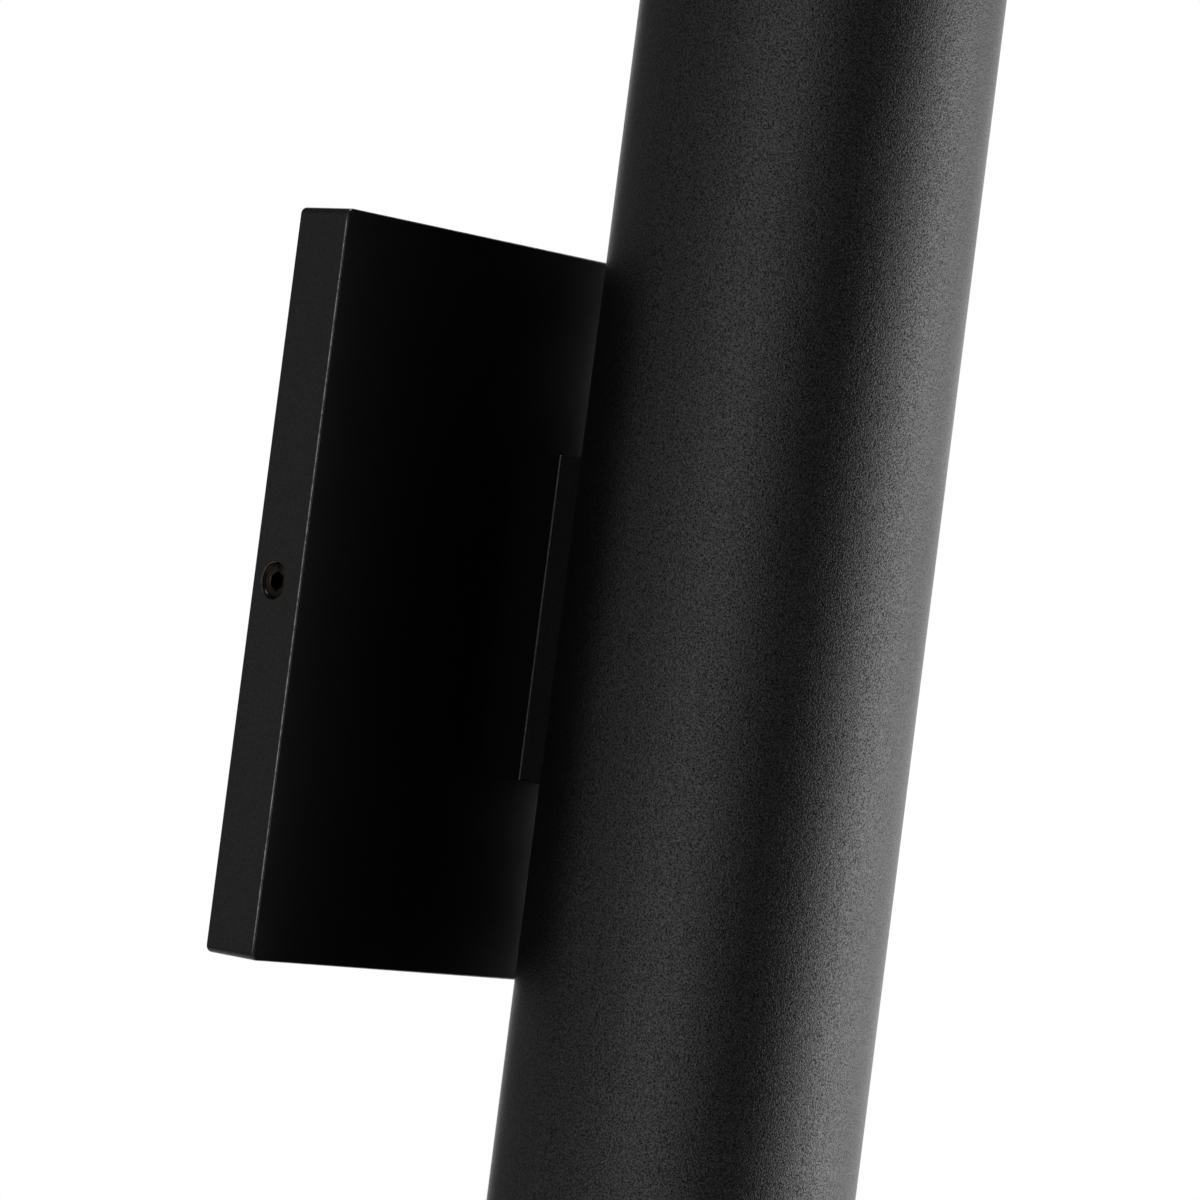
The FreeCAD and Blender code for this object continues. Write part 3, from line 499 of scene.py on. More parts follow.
# %% [markdown]
# ## The tube
# The real tube is a cut length of extrusion: a wall section swept round an
# axis, eased at both ends, and drilled at the back for the arm and the screws
# that hold the heat sinks. The recipe does the same: a small rounded
# rectangle is swept round a circle, and drill bits are taken away from it.
# The frame's tube has about fifty flats, which would show; this one has 256.

# %% The tube's recipe
low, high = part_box("tube")
TUBE_R = (high.x - low.x) / 2
TUBE_Y = (low.y + high.y) / 2
TUBE_L = high.z - low.z
low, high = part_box("upper_sink_screw")
SINK_UP, SINK_FACE = (low.z + high.z) / 2, high.y
ARM_UP = 20 * MM
ARM_HOLE = 2.7 * MM
PASSAGE = 4.5 * MM
DRILL_SIDES = 48


def tube_recipe():
    tree, given = new_recipe("tube recipe", {
        "Radius": TUBE_R, "Wall": 2.0 * MM, "Length": TUBE_L, "Axis": TUBE_Y,
        "Ease": 0.5 * MM, "Sides": 256, "Arm pitch": 2 * ARM_UP, "Arm hole": ARM_HOLE,
        "Passage": PASSAGE, "Sink pitch": 2 * SINK_UP, "Shank": 1.6 * MM})
    middle = minus(tree, given["Radius"], times(tree, given["Wall"], 0.5))
    path = add(tree, "GeometryNodeCurvePrimitiveCircle",
               {"Resolution": given["Sides"], "Radius": middle}, mode="RADIUS").outputs[0]
    section = add(tree, "GeometryNodeCurvePrimitiveQuadrilateral",
                  {"Width": given["Wall"], "Height": given["Length"]},
                  mode="RECTANGLE").outputs[0]
    section = add(tree, "GeometryNodeFilletCurve",
                  {"Curve": section, "Radius": given["Ease"], "Count": 3},
                  mode="POLY").outputs[0]
    shell = add(tree, "GeometryNodeCurveToMesh",
                {"Curve": path, "Profile Curve": section}).outputs[0]
    shell = shift(tree, shell, y=given["Axis"])
    back = plus(tree, given["Axis"], given["Radius"])
    deep = times(tree, given["Wall"], 6.0)
    arm_bit, lead_bit, shank_bit = (rod(tree, given[size], deep, DRILL_SIDES)
                                    for size in ("Arm hole", "Passage", "Shank"))
    bits = [drills(tree, arm_bit, back, 2, given["Arm pitch"]),
            drills(tree, lead_bit, back),
            drills(tree, shank_bit, back, 2, given["Sink pitch"])]
    end_recipe(tree, given, take_away(tree, shell, bits))
    return tree


tube = run_recipe(tube_recipe(), "tube_body", powder_black)
hand_over(tube, "tube", powder_black, 30.0)

# %% [markdown]
# ## The cover
# The cover is pressed and folded into a shallow square pan with soft edges.
# Here it is drawn as a stack of squares with rounded corners, from the lip
# along the outside, over the edge, across the face and back up the inside.
# The screw holes are cut with bits whose mouths flare, as coated holes do.

# %% Outlines, skins and bits
def quarter(steps):
    """The angles of a quarter turn, in equal steps."""
    return [step * pi / 2 / steps for step in range(steps + 1)]


def rounded(half_x, half_z, corner, y, steps=5):
    """Points of a rectangle with rounded corners, at one depth."""
    points = []
    for turn in range(4):
        x = (half_x - corner) * (1 if turn in (0, 3) else -1)
        z = (half_z - corner) * (1 if turn in (0, 1) else -1)
        for part in quarter(steps):
            angle = turn * pi / 2 + part
            points.append((x + corner * cos(angle), y, z + corner * sin(angle)))
    return points


def stack(name, rows, hollow=False):
    """A skin over rows of equally many points: capped, or closed on itself."""
    mesh = bpy.data.meshes.new(name)
    shape = bmesh.new()
    rings = [[shape.verts.new(point) for point in row] for row in rows]
    for near, far in zip(rings, rings[1:] + rings[:1] * hollow):
        for i in range(len(near)):
            shape.faces.new((near[i - 1], near[i], far[i], far[i - 1]))
    if not hollow:
        shape.faces.new(rings[0])
        shape.faces.new(rings[-1])
    bmesh.ops.recalc_face_normals(shape, faces=shape.faces)
    shape.to_mesh(mesh)
    shape.free()
    return mesh


def turned(name, profile, axis_point, axis, sides=48, hollow=False):
    """A solid turned from (height, radius) pairs about an axis."""
    turn = Vector((0, 0, 1)).rotation_difference(Vector(axis)).to_matrix()
    rows = []
    for height, radius in profile:
        rows.append([Vector(axis_point) + turn @ Vector(
            (radius * cos(tau * i / sides), radius * sin(tau * i / sides), height))
            for i in range(sides)])
    return stack(name, rows, hollow)


def cut(piece, bits):
    """Take solid bits away from a piece."""
    holders = []
    for bit in bits:
        holder = put("bit", bit)
        holders.append(holder)
        change = piece.modifiers.new("hole", "BOOLEAN")
        change.object = holder
        change.operation = "DIFFERENCE"
        change.solver = "EXACT"
    settle(piece)
    for holder in holders:
        bpy.data.objects.remove(holder)


# %% The cover
COVER_WALL = 2.0 * MM
CORNER = 1.2 * MM
INNER_CORNER = 0.05 * MM
LIP = 0.7 * MM
SCREW_OUT = -5.5 * MM
SCREW_HOLE = 3.05 * MM


def cover_rows():
    """From the bottom of the pan up to its rim, and down the outside."""
    inner = COVER_HALF - COVER_WALL
    rows = [rounded(inner, inner, INNER_CORNER, -(COVER_DEEP - COVER_WALL)),
            rounded(inner, inner, INNER_CORNER, 0.0)]
    for angle in quarter(4):
        give = LIP * (1 - sin(angle))
        rows.append(rounded(COVER_HALF - give, COVER_HALF - give, CORNER - give,
                            -LIP * (1 - cos(angle))))
    for angle in quarter(5):
        give = EDGE * (1 - cos(angle))
        rows.append(rounded(COVER_HALF - give, COVER_HALF - give, CORNER - give,
                            EDGE - COVER_DEEP - EDGE * sin(angle)))
    return rows


def flared_bit(name, mouth, axis, radius, flare):
    """A bit that widens in a quarter round just below the surface."""
    above, length = 1 * MM, 3 * MM
    rows = [(above, radius + flare), (0.0, radius + flare)]
    for angle in quarter(3)[1:]:
        rows.append((-flare * sin(angle), radius + flare * (1 - sin(angle))))
    return turned(name, rows + [(-length, radius)], mouth, axis, 64)


cover = put("cover_pan", stack("cover_pan", cover_rows()))
cut(cover, [flared_bit("side", (side * COVER_HALF, SCREW_OUT, 0), (side, 0, 0),
                       SCREW_HOLE, 0.22 * MM) for side in (-1, 1)]
    + [flared_bit("front", (0, -COVER_DEEP, height), (0, -1, 0), radius, 0.1 * MM)
       for height, radius in ((-ARM_UP, ARM_HOLE), (0.0, PASSAGE), (ARM_UP, ARM_HOLE))])
hand_over(cover, "canopy_cover", cover_black)

# %% [markdown]
# ## The standoff block
# A bar of metal with softened edges, milled hollow in front so that it sits
# against the round of the tube. Block and cover are coated together, and the
# powder pools in the corner between them: a fine cove, which catches the
# light as a thin line down the side of the block.

# %% The block
low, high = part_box("standoff_block")
BLOCK_HALF = high.x
BLOCK_TALL = high.z
BLOCK_CORNER = 0.4 * MM
SADDLE = TUBE_R + 0.05 * MM
MILL_REACH = 200 * MM
COVE = 0.35 * MM


def block_rows():
    """The cove out from the cover, and then the bar."""
    rows = []
    for angle in quarter(5):
        rows.append(rounded(BLOCK_HALF + COVE * (1 - sin(angle)), BLOCK_TALL, BLOCK_CORNER,
                            -COVER_DEEP - COVE * (1 - cos(angle))))
    rows.append(rounded(BLOCK_HALF, BLOCK_TALL, BLOCK_CORNER, TUBE_Y + TUBE_R / 2))
    return rows


block = put("block_bar", stack("block_bar", block_rows()))
cut(block, [turned("mill", [(-MILL_REACH, SADDLE), (MILL_REACH, SADDLE)],
                   (0, TUBE_Y, 0), (0, 0, 1), 256)])
hand_over(block, "standoff_block", block_black)

# %% [markdown]
# ## The socket screws
# Each set screw is a short threaded stud with a hexagonal socket. The recipe
# turns a chamfered stud, winds a thread round it as a spiral ridge, and cuts
# the socket. It is run once for each side, since each screw turns by itself.

# %% The socket screw's recipe
SCREW_SIDES = 96
CUP = ((2.80, 2.62, 0.26), (2.62, 1.88, 0.20), (1.88, 1.72, 0.12))


def cup_cutters(tree):
    """The cup round the socket: rings of (outer radius, inner radius, depth) in mm."""
    cutters = []
    level, overlap = 0.01 * MM, 0.001 * MM
    for wide, narrow, deep in CUP:
        level -= deep * MM
        ring = cone(tree, narrow * MM, wide * MM, deep * MM + overlap, SCREW_SIDES)
        cutters.append(shift(tree, ring, z=level))
    return cutters


def thread(tree, given, core):
    """A ridge wound round the core, clear of the chamfer and of the tip."""
    run = minus(tree, given["Length"], times(tree, given["Chamfer"], 3.0))
    coil = add(tree, "GeometryNodeCurveSpiral",
               {"Resolution": 48, "Rotations": maths(tree, "DIVIDE", run, given["Thread pitch"]),
                "Start Radius": core, "End Radius": core,
                "Height": times(tree, run, -1.0)}).outputs[0]
    ridge = add(tree, "GeometryNodeCurvePrimitiveCircle",
                {"Resolution": 4, "Radius": given["Thread depth"]}, mode="RADIUS").outputs[0]
    wound = add(tree, "GeometryNodeCurveToMesh",
                {"Curve": coil, "Profile Curve": ridge, "Fill Caps": True}).outputs[0]
    return shift(tree, wound, z=times(tree, given["Chamfer"], -1.2))


def socket_screw_recipe():
    tree, given = new_recipe("socket screw recipe", {
        "Radius": 3.0 * MM, "Length": 6.0 * MM, "Chamfer": 0.15 * MM, "Socket": 3.0 * MM,
        "Socket depth": 3.0 * MM, "Thread pitch": 1.0 * MM, "Thread depth": 0.42 * MM,
        "Side": -1.0, "Face": 63.2 * MM, "Out": SCREW_OUT})
    core = minus(tree, given["Radius"], given["Thread depth"])
    stud = shift(tree, rod(tree, core, given["Length"], SCREW_SIDES),
                 z=times(tree, given["Length"], -0.5))
    collar = shift(tree, cone(tree, given["Radius"],
                              minus(tree, given["Radius"], given["Chamfer"]),
                              given["Chamfer"], SCREW_SIDES),
                   z=times(tree, given["Chamfer"], -1.0))
    key = hexagon_key(tree, given["Socket"], given["Socket depth"])
    holed = take_away(tree, join(tree, [stud, collar]), [key, *cup_cutters(tree)])
    whole = add(tree, "GeometryNodeJoinGeometry")
    for part in (holed, thread(tree, given, core)):
        tree.links.new(part, whole.inputs["Geometry"])
    placed = add(tree, "GeometryNodeTransform", {
        "Geometry": whole.outputs[0],
        "Rotation": spot(tree, 0.0, times(tree, given["Side"], pi / 2), 0.0),
        "Translation": spot(tree, times(tree, given["Side"], given["Face"]),
                            given["Out"], 0.0)}).outputs[0]
    end_recipe(tree, given, placed)
    return tree


screw_recipe = socket_screw_recipe()
for side, sign in (("left", -1.0), ("right", 1.0)):
    screw = run_recipe(screw_recipe, side + "_socket_screw", black_oxide, side=sign)
    hand_over(screw, side + "_set_screw", black_oxide, 25.0)

# %% [markdown]
# ## The machine screws
# Two cap screws pull the cover, the block and the tube together, and two
# countersunk screws hold the heat sinks from the back of the tube. One recipe
# makes both kinds: the head is a cone from a seat to a rim, and where seat and
# rim are equal it is a cap head.

# %% The machine screw's recipe
def machine_screw_recipe():
    tree, given = new_recipe("machine screw recipe", {
        "Rim": 4.75 * MM, "Seat": 4.75 * MM, "Head": 3.4 * MM, "Brow": 0.6 * MM,
        "Shank": 2.5 * MM, "Length": 23.9 * MM, "Socket": 3.0 * MM, "Deep": 2.0 * MM,
        "Face": -7.1 * MM, "Up": ARM_UP})
    rim, seat, brow, shank = (given[size] for size in ("Rim", "Seat", "Brow", "Shank"))
    stages = ((rim, minus(tree, rim, brow), brow, brow),
              (seat, rim, minus(tree, given["Head"], brow), given["Head"]),
              (shank, shank, given["Length"], given["Length"]))
    parts = [shift(tree, cone(tree, bottom, top, tall, 72), z=times(tree, below, -1.0))
             for bottom, top, tall, below in stages]
    key = hexagon_key(tree, given["Socket"], given["Deep"])
    placed = add(tree, "GeometryNodeTransform",
                 {"Geometry": take_away(tree, join(tree, parts), [key]),
                  "Rotation": (-pi / 2, 0.0, 0.0),
                  "Translation": spot(tree, 0.0, given["Face"], given["Up"])}).outputs[0]
    end_recipe(tree, given, placed)
    return tree


machine_screw = machine_screw_recipe()
for end, sign in ENDS.items():
    cap = run_recipe(machine_screw, end + "_cap_screw", zinc_steel, up=sign * ARM_UP,
                     face=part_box(end + "_arm_screw")[1].y)
    hand_over(cap, end + "_arm_screw", zinc_steel, 25.0)
    sunk = run_recipe(machine_screw, end + "_sunk_screw", black_oxide, up=sign * SINK_UP,
                      face=SINK_FACE, rim=2.8 * MM, seat=1.5 * MM, head=1.3 * MM,
                      brow=0.02 * MM, shank=1.5 * MM, length=7 * MM, socket=2 * MM,
                      deep=1.1 * MM)
    hand_over(sunk, end + "_sink_screw", black_oxide, 25.0)

# %% [markdown]
# ## The lamp ends
# Each end is a stack of turned parts: a threaded bezel that clamps a soft
# gasket and a glass disc over a bright reflector, with the yellow light source
# at its foot. Each is drawn as a profile, with heights in mm from the middle of
# the lamp, and turned round the tube's axis. The reflector keeps flat facets on
# purpose, because they spread the beam.

# %% Profiles of the lamp ends
def bowl(steps=7):
    """The reflector's inner curve, from its foot to its mouth."""
    foot, belly, mouth = (113.0, 8.5), (117.5, 18.5), (136.7, 24.5)
    points = []
    for step in range(steps + 1):
        t = step / steps
        points.append(tuple((1 - t) ** 2 * a + 2 * t * (1 - t) * b + t * t * c
                            for a, b, c in zip(foot, belly, mouth)))
    return points


BOWL_WALL = 1.2
BEZEL = [(141.5, 24.0), (141.5, 28.6), (141.85, 28.95), (148.2, 28.95), (148.5, 28.65),
         (148.5, 26.5), (148.35, 26.15), (148.0, 25.9), (142.2, 24.1)]
GASKET = [(139.7, 25.0), (139.7, 28.5), (141.2, 28.5), (141.2, 25.2), (141.0, 25.0)]
LENS = [(136.7, 27.9), (137.1, 28.5), (139.3, 28.5), (139.7, 27.9)]
REFLECTOR = bowl() + [(136.7, 28.5), (135.5, 28.5), (135.5, 25.7)] + [
    (height, radius + BOWL_WALL) for height, radius in reversed(bowl()[:-1])]
DAM = [(112.75, 6.5), (112.75, 7.6), (113.6, 7.5), (113.95, 7.1), (113.6, 6.5)]
PHOSPHOR = [(112.7, 6.5), (113.55, 6.5), (113.65, 5.0), (113.7, 2.0)]
print("mouth of the reflector:", bowl()[-1])

# %% [markdown]
# The bezel has two notches across its rim, for the key that screws it home.
# They are milled once the ring is turned.

# %% The lamp ends
NOTCH_OUT = 27.5 * MM
NOTCH_HALF = (3.0 * MM, 1.5 * MM)
NOTCH_FROM, NOTCH_TO = 146.5 * MM, 150 * MM


def turned_piece(end, label, profile, sides=144, hollow=True):
    """Turn a profile of (height, radius) in mm for the upper or lower end."""
    points = [(height * MM, radius * MM) for height, radius in profile]
    return put(end + label, turned(end + label, points, (0, TUBE_Y, 0),
                                   (0, 0, ENDS[end]), sides, hollow))


def mill_notches(ring, side):
    half_x, half_y = NOTCH_HALF
    bits = []
    for middle in (-NOTCH_OUT, NOTCH_OUT):
        outline = [(middle + x * half_x, TUBE_Y + y * half_y)
                   for x, y in ((-1, -1), (1, -1), (1, 1), (-1, 1))]
        bits.append(stack("notch", [[(x, y, side * height) for x, y in outline]
                                    for height in (NOTCH_FROM, NOTCH_TO)]))
    cut(ring, bits)


for end, side in ENDS.items():
    bezel = turned_piece(end, "_bezel", BEZEL)
    mill_notches(bezel, side)
    hand_over(bezel, end + "_retaining_ring", ring_black)
    hand_over(turned_piece(end, "_seal", GASKET), end + "_gasket", white_silicone)
    hand_over(turned_piece(end, "_glass", LENS, hollow=False), end + "_lens", clear_glass)
    hand_over(turned_piece(end, "_bowl", REFLECTOR, 36), end + "_reflector",
              bright_aluminium, 4.0)
    hand_over(turned_piece(end, "_phosphor", PHOSPHOR, 64, False), end + "_led_emitter",
              phosphor_yellow)
    hand_over(turned_piece(end, "_dam", DAM, 64), end + "_led_emitter", white_silicone)

# %% [markdown]
# ## The heat sinks
# A heat sink is cast: a cup that carries the reflector, and thin fins under
# its floor that thicken towards their roots so that the casting leaves the
# mould. The recipe sweeps one fin and sets it round the axis as often as asked.
# Two holes let the leads through the floor, and one in its back takes a screw.

# %% The heat sink's recipe
def post(tree, radius, bottom, top, x=0.0, y=0.0, sides=144):
    """A rod that stands from one height to another."""
    tall = minus(tree, top, bottom)
    middle = plus(tree, bottom, times(tree, tall, 0.5))
    return shift(tree, rod(tree, radius, tall, sides), x, y, middle)


def ring_of_fins(tree, given):
    """One fin, swept outwards, and its copies set round the axis."""
    low = minus(tree, plus(tree, given["Under"], given["Rooted"]),
                times(tree, given["Reach"], 0.5))
    path = add(tree, "GeometryNodeCurvePrimitiveLine",
               {"Start": spot(tree, given["Inner"], 0.0, low),
                "End": spot(tree, given["Outer"], 0.0, low)}, mode="POINTS").outputs[0]
    section = add(tree, "GeometryNodeCurvePrimitiveQuadrilateral",
                  {"Height": given["Reach"], "Bottom Width": given["Root"],
                   "Top Width": given["Tip"], "Offset": 0.0}, mode="TRAPEZOID").outputs[0]
    fin = add(tree, "GeometryNodeCurveToMesh",
              {"Curve": path, "Profile Curve": section, "Fill Caps": True}).outputs[0]
    places = add(tree, "GeometryNodeMeshLine",
                 {"Count": given["Fins"], "Offset": (0.0, 0.0, 0.0)}, mode="OFFSET").outputs[0]
    index = add(tree, "GeometryNodeInputIndex").outputs[0]
    turn = times(tree, index, maths(tree, "DIVIDE", tau, given["Fins"]))
    fins = add(tree, "GeometryNodeInstanceOnPoints",
               {"Points": places, "Instance": fin,
                "Rotation": spot(tree, 0.0, 0.0, turn)}).outputs[0]
    return add(tree, "GeometryNodeRealizeInstances", {"Geometry": fins}).outputs[0]


def heat_sink_recipe():
    tree, given = new_recipe("heat sink recipe", {
        "Radius": 28.9 * MM, "Rim": 1.6 * MM, "Under": 102.6 * MM, "Ledge": 110.6 * MM,
        "Seat": 135.5 * MM, "Fins": 12, "Inner": 9.0 * MM, "Outer": 26.0 * MM,
        "Root": 1.5 * MM, "Tip": 1.1 * MM, "Reach": 24.0 * MM, "Rooted": 0.3 * MM,
        "Spare": 1.0 * MM, "Lead aside": 3.0 * MM, "Lead back": 15.0 * MM,
        "Lead hole": 1.3 * MM, "Screw hole": 1.55 * MM, "Screw depth": 7.3 * MM,
        "Turn": 0.0, "Axis": TUBE_Y})
    cup = post(tree, given["Radius"], given["Under"], given["Seat"])
    bore = post(tree, minus(tree, given["Radius"], given["Rim"]), given["Ledge"],
                plus(tree, given["Seat"], given["Spare"]))
    tapped = rod(tree, given["Screw hole"], times(tree, given["Screw depth"], 2.0),
                 DRILL_SIDES)
    tapped = shift(tree, drills(tree, tapped, given["Radius"]), z=times(
        tree, plus(tree, given["Under"], given["Ledge"]), 0.5))
    lead_holes = [post(tree, given["Lead hole"], minus(tree, given["Under"], given["Reach"]),
                       given["Seat"], times(tree, given["Lead aside"], side),
                       given["Lead back"], 32) for side in (-1.0, 1.0)]
    solid = join(tree, [cup, ring_of_fins(tree, given)])
    placed = add(tree, "GeometryNodeTransform",
                 {"Geometry": take_away(tree, solid, [bore, tapped, *lead_holes]),
                  "Rotation": spot(tree, 0.0, given["Turn"]),
                  "Translation": spot(tree, 0.0, given["Axis"])}).outputs[0]
    end_recipe(tree, given, placed)
    return tree


sink_recipe = heat_sink_recipe()
for end, half_turn in (("upper", 0.0), ("lower", pi)):
    sink = run_recipe(sink_recipe, end + "_finned_cup", cast_aluminium, turn=half_turn)
    hand_over(sink, end + "_heat_sink", cast_aluminium)

# %% [markdown]
# ## Eased edges
# The bracket and the small inner parts already have their shape in the frame.
# What the frame lacks is the tiny round that shearing, moulding or tumbling
# leaves on every edge, and that catches the light. A copy of each mesh is
# merged, its flat triangles are joined, and a bevel eases its edges.

# %% Ease the edges of the frame's own parts
def ease_edges(node, name, finish, width):
    """Stand in for a node with a copy whose edges are eased, by a width in mm."""
    mesh = frame["nodes"][node].data.copy()
    shape = bmesh.new()
    shape.from_mesh(mesh)
    bmesh.ops.remove_doubles(shape, verts=shape.verts, dist=0.002 * MM)
    bmesh.ops.dissolve_limit(shape, angle_limit=radians(1.0), verts=shape.verts,
                             edges=shape.edges)
    shape.to_mesh(mesh)
    shape.free()
    piece = put(name, mesh)
    ease = piece.modifiers.new("eased edges", "BEVEL")
    ease.width = width * MM
    ease.segments = 2
    ease.limit_method = "ANGLE"
    ease.angle_limit = radians(50.0)
    hand_over(piece, node, finish)


for node, name, finish, width in (
        ("wall_bracket", "bracket_bar", zinc_steel, 0.25),
        ("ground_screw", "earth_screw", earth_green, 0.15),
        ("terminal_block", "terminal_body", terminal_white, 0.3),
        ("left_screw_bush", "left_brass_bush", brass, 0.25),
        ("right_screw_bush", "right_brass_bush", brass, 0.25),
        ("grommet", "rubber_bush", black_rubber, 0.3),
        ("nut_bar", "threaded_bar", zinc_steel, 0.3),
        ("driver", "driver_case", driver_white, 0.8),
        ("driver_tray", "driver_shelf", zinc_steel, 0.2),
        ("driver_strap", "driver_clip", zinc_steel, 0.2)):
    ease_edges(node, name, finish, width)

# %% [markdown]
# ## The floor
# A pale floor sits just under the lamp. Near the lamp it is an ordinary matt
# surface and takes the lamp's shadow; further out it fades into the white
# ground, so there is no horizon line. Seen from below it lets the eye
# through, so that the lower end can be looked at.

# %% The floor
FLOOR = -0.21
FLOOR_REACH = 6.0
NEAR, FAR = 0.16, 0.42
GLOW_SHARE = 0.6


def mix(tree, share, first, second):
    """Blend two shaders."""
    return add(tree, "ShaderNodeMixShader", {0: share, 1: first, 2: second}).outputs[0]


def floor_finish():
    finish, tree, shader, place = start_finish("pale_floor")
    reach = add(tree, "ShaderNodeVectorMath", {0: place}, operation="LENGTH").outputs["Value"]
    fade = stretch_range(tree, reach, NEAR, FAR, 0.0, 1.0)
    dust = grain(tree, place, 60.0, 3.0)
    wire_up(tree, shader, Roughness=0.9, Specular_IOR_Level=0.1,
            Base_Color=two_tone(tree, dust, (0.80,) * 3, (0.82,) * 3))
    matt = shader.outputs[0]
    glow = add(tree, "ShaderNodeEmission", {"Strength": 1.0}).outputs[0]
    clear = add(tree, "ShaderNodeBsdfTransparent").outputs[0]
    camera_ray = add(tree, "ShaderNodeLightPath").outputs["Is Camera Ray"]
    near = mix(tree, camera_ray, matt, mix(tree, GLOW_SHARE, matt, glow))
    far = mix(tree, camera_ray, clear, glow)
    under = add(tree, "ShaderNodeNewGeometry").outputs["Backfacing"]
    seen = mix(tree, under, mix(tree, fade, near, far), clear)
    tree.links.new(seen, tree.nodes["Material Output"].inputs["Surface"])
    return finish


def make_floor():
    mesh = bpy.data.meshes.new("pale_floor")
    corners = [(x * FLOOR_REACH, y * FLOOR_REACH, FLOOR)
               for x, y in ((-1, -1), (1, -1), (1, 1), (-1, 1))]
    mesh.from_pydata(corners, [], [(0, 1, 2, 3)])
    mesh.materials.append(floor_finish())
    put("pale_floor", mesh)


make_floor()
print("floor at", FLOOR)

# %% [markdown]
# ## The camera
# The picture is taken from the lamp's left, just below the middle, close and
# with a long lens. The lamp leans to the right in the frame, so the camera is
# rolled a little about its line of sight.

# %% The camera
AIM = Vector((-0.02045, -0.040, 0.0038))
SIDEWAYS = radians(43.89)
DOWN = radians(-1.242)
ROLL = radians(7.274)
DISTANCE = 0.8442
LENS_MM, SENSOR_MM = 149.67, 36.0


def make_camera():
    """Set up the camera; give the way to it from the lamp, and its right hand."""
    toward = Vector((-sin(SIDEWAYS) * cos(DOWN), -cos(SIDEWAYS) * cos(DOWN), sin(DOWN)))
    forward = -toward
    right = forward.cross(Vector((0, 0, 1))).normalized()
    up = right.cross(forward)
    basis = Matrix((right, up, -forward)).transposed()
    lens = bpy.data.cameras.new("camera")
    lens.lens = LENS_MM
    lens.sensor_width = SENSOR_MM
    lens.clip_start = 10 * MM
    camera = put("camera", lens)
    camera.matrix_world = (Matrix.Translation(AIM + toward * DISTANCE)
                           @ (basis @ Matrix.Rotation(ROLL, 3, "Z")).to_4x4())
    bpy.context.scene.camera = camera
    return toward, right


TOWARD, RIGHT = make_camera()
print("camera", round(DISTANCE, 3), "m away")

# %% [markdown]
# ## The studio
# A black lamp is lit by what it mirrors. The room is a ring of soft light
# whose brightness changes with the direction: dim on the left, a soft lamp
# left of the camera, a dark gap to its right, and a broad bright wall on the
# right that wraps behind. The camera itself, and metal and glass that look
# that way, see a plain white ground.
# The first lists give (degrees round from the camera, brightness), and the
# FALL lists give (height from -1 to 1, share of that brightness).

# %% The studio's light
BRIGHTEST = 4.0
ROOM = [(-180, 0.10), (-150, 0.13), (-112, 0.20), (-90, 0.30), (-70, 0.39), (-48, 0.59),
        (-34, 1.00), (-20, 1.26), (-8, 0.92), (2, 0.48), (14, 0.165), (26, 0.06),
        (44, 0.04), (60, 0.0), (180, 0.0)]
WALL = [(-180, 0.0), (44, 0.0), (58, 0.37), (72, 1.8), (88, 3.5), (104, 4.0), (124, 1.8),
        (150, 0.87), (174, 0.9), (180, 0.2)]
ROOM_FALL = [(-1.0, 0.45), (-0.4, 0.7), (0.0, 1.0), (0.14, 0.88), (0.4, 0.6), (1.0, 0.4)]
WALL_FALL = [(-1.0, 0.2), (-0.4, 0.35), (-0.2, 0.75), (-0.03, 1.0), (0.05, 0.92),
             (0.14, 0.64), (0.3, 0.4), (1.0, 0.25)]
GROUND = [(-180, 1.0), (-170, 1.0), (-158, 0.0), (146, 0.0), (158, 1.0)]


def round_stops(levels, most=1.0):
    """Stops for a ramp that goes once round the lamp."""
    return [((turn + 180) / 360, (level / most,) * 3) for turn, level in levels]


def upward_stops(levels):
    """Stops for a ramp from straight down to straight up."""
    return [((height + 1) / 2, (level,) * 3) for height, level in levels]


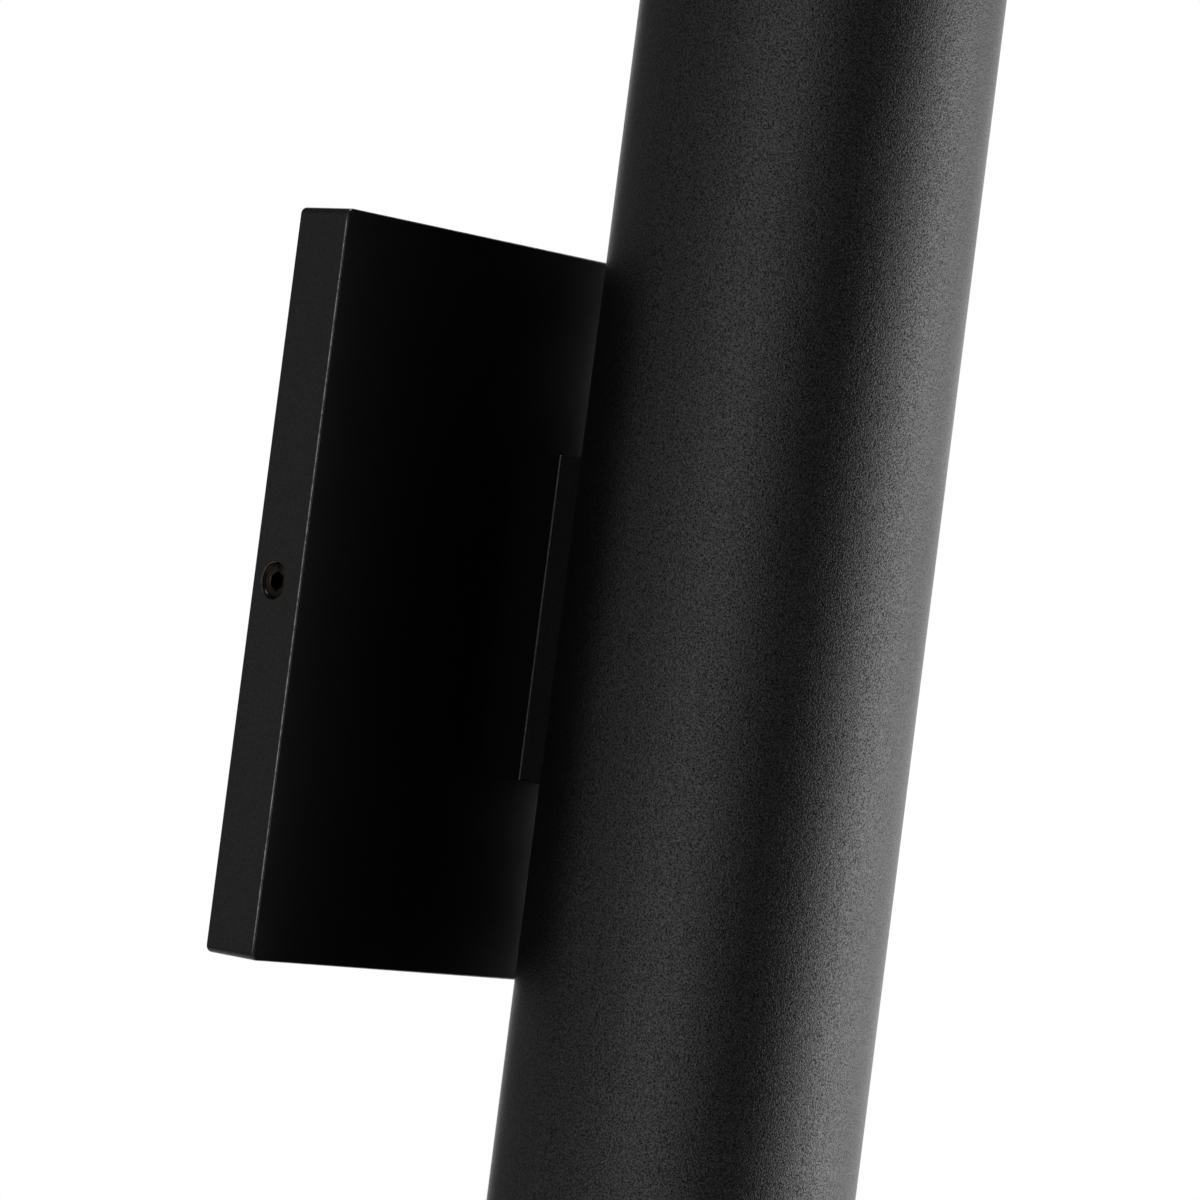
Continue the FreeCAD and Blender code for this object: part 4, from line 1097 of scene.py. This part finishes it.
def make_world():
    world = bpy.data.worlds.new("studio")
    bpy.context.scene.world = world
    world.use_nodes = True
    tree = world.node_tree
    tree.nodes.clear()
    way = add(tree, "ShaderNodeTexCoord").outputs["Generated"]
    level = Vector((TOWARD.x, TOWARD.y, 0)).normalized()
    ahead, aside = (add(tree, "ShaderNodeVectorMath", {0: way, 1: line},
                        operation="DOT_PRODUCT").outputs["Value"] for line in (level, RIGHT))
    around = stretch_range(tree, maths(tree, "ARCTAN2", aside, ahead), -pi, pi, 0.0, 1.0)
    climb = stretch_range(tree, add(tree, "ShaderNodeSeparateXYZ", {0: way}).outputs["Z"],
                          -1.0, 1.0, 0.0, 1.0)
    room = add(tree, "ShaderNodeVectorMath",
               {0: ramp(tree, around, round_stops(ROOM, BRIGHTEST)),
                1: ramp(tree, climb, upward_stops(ROOM_FALL))},
               operation="MULTIPLY").outputs[0]
    whole = add(tree, "ShaderNodeVectorMath",
                {0: ramp(tree, around, round_stops(WALL, BRIGHTEST)),
                 1: ramp(tree, climb, upward_stops(WALL_FALL)), 2: room},
                operation="MULTIPLY_ADD").outputs[0]
    light = add(tree, "ShaderNodeBackground", {"Color": whole, "Strength": BRIGHTEST})
    white = add(tree, "ShaderNodeBackground", {"Color": (1, 1, 1, 1), "Strength": 1.0})
    ray = add(tree, "ShaderNodeLightPath").outputs
    mirrored = times(tree, maths(tree, "MAXIMUM", ray["Is Glossy Ray"],
                                 ray["Is Transmission Ray"]),
                     ramp(tree, around, round_stops(GROUND)))
    seen = maths(tree, "MAXIMUM", ray["Is Camera Ray"], mirrored)
    add(tree, "ShaderNodeOutputWorld",
        {"Surface": mix(tree, seen, light.outputs[0], white.outputs[0])})


def hang_lamp(name, place, width, watts):
    """A soft square lamp that faces the middle of the object."""
    light = bpy.data.lights.new(name, "AREA")
    light.shape = "RECTANGLE"
    light.size, light.size_y, light.energy = width, width, watts
    lamp = put(name, light)
    lamp.location = place
    lamp.rotation_euler = (AIM - Vector(place)).to_track_quat("-Z", "Y").to_euler()
    lamp.visible_camera = False


hang_lamp("overhead_lamp", (0.15, -0.25, 1.3), 1.2, 22.0)
make_world()
bpy.context.scene.view_settings.view_transform = "Standard"
print("studio steps:", len(ROOM) + len(WALL))
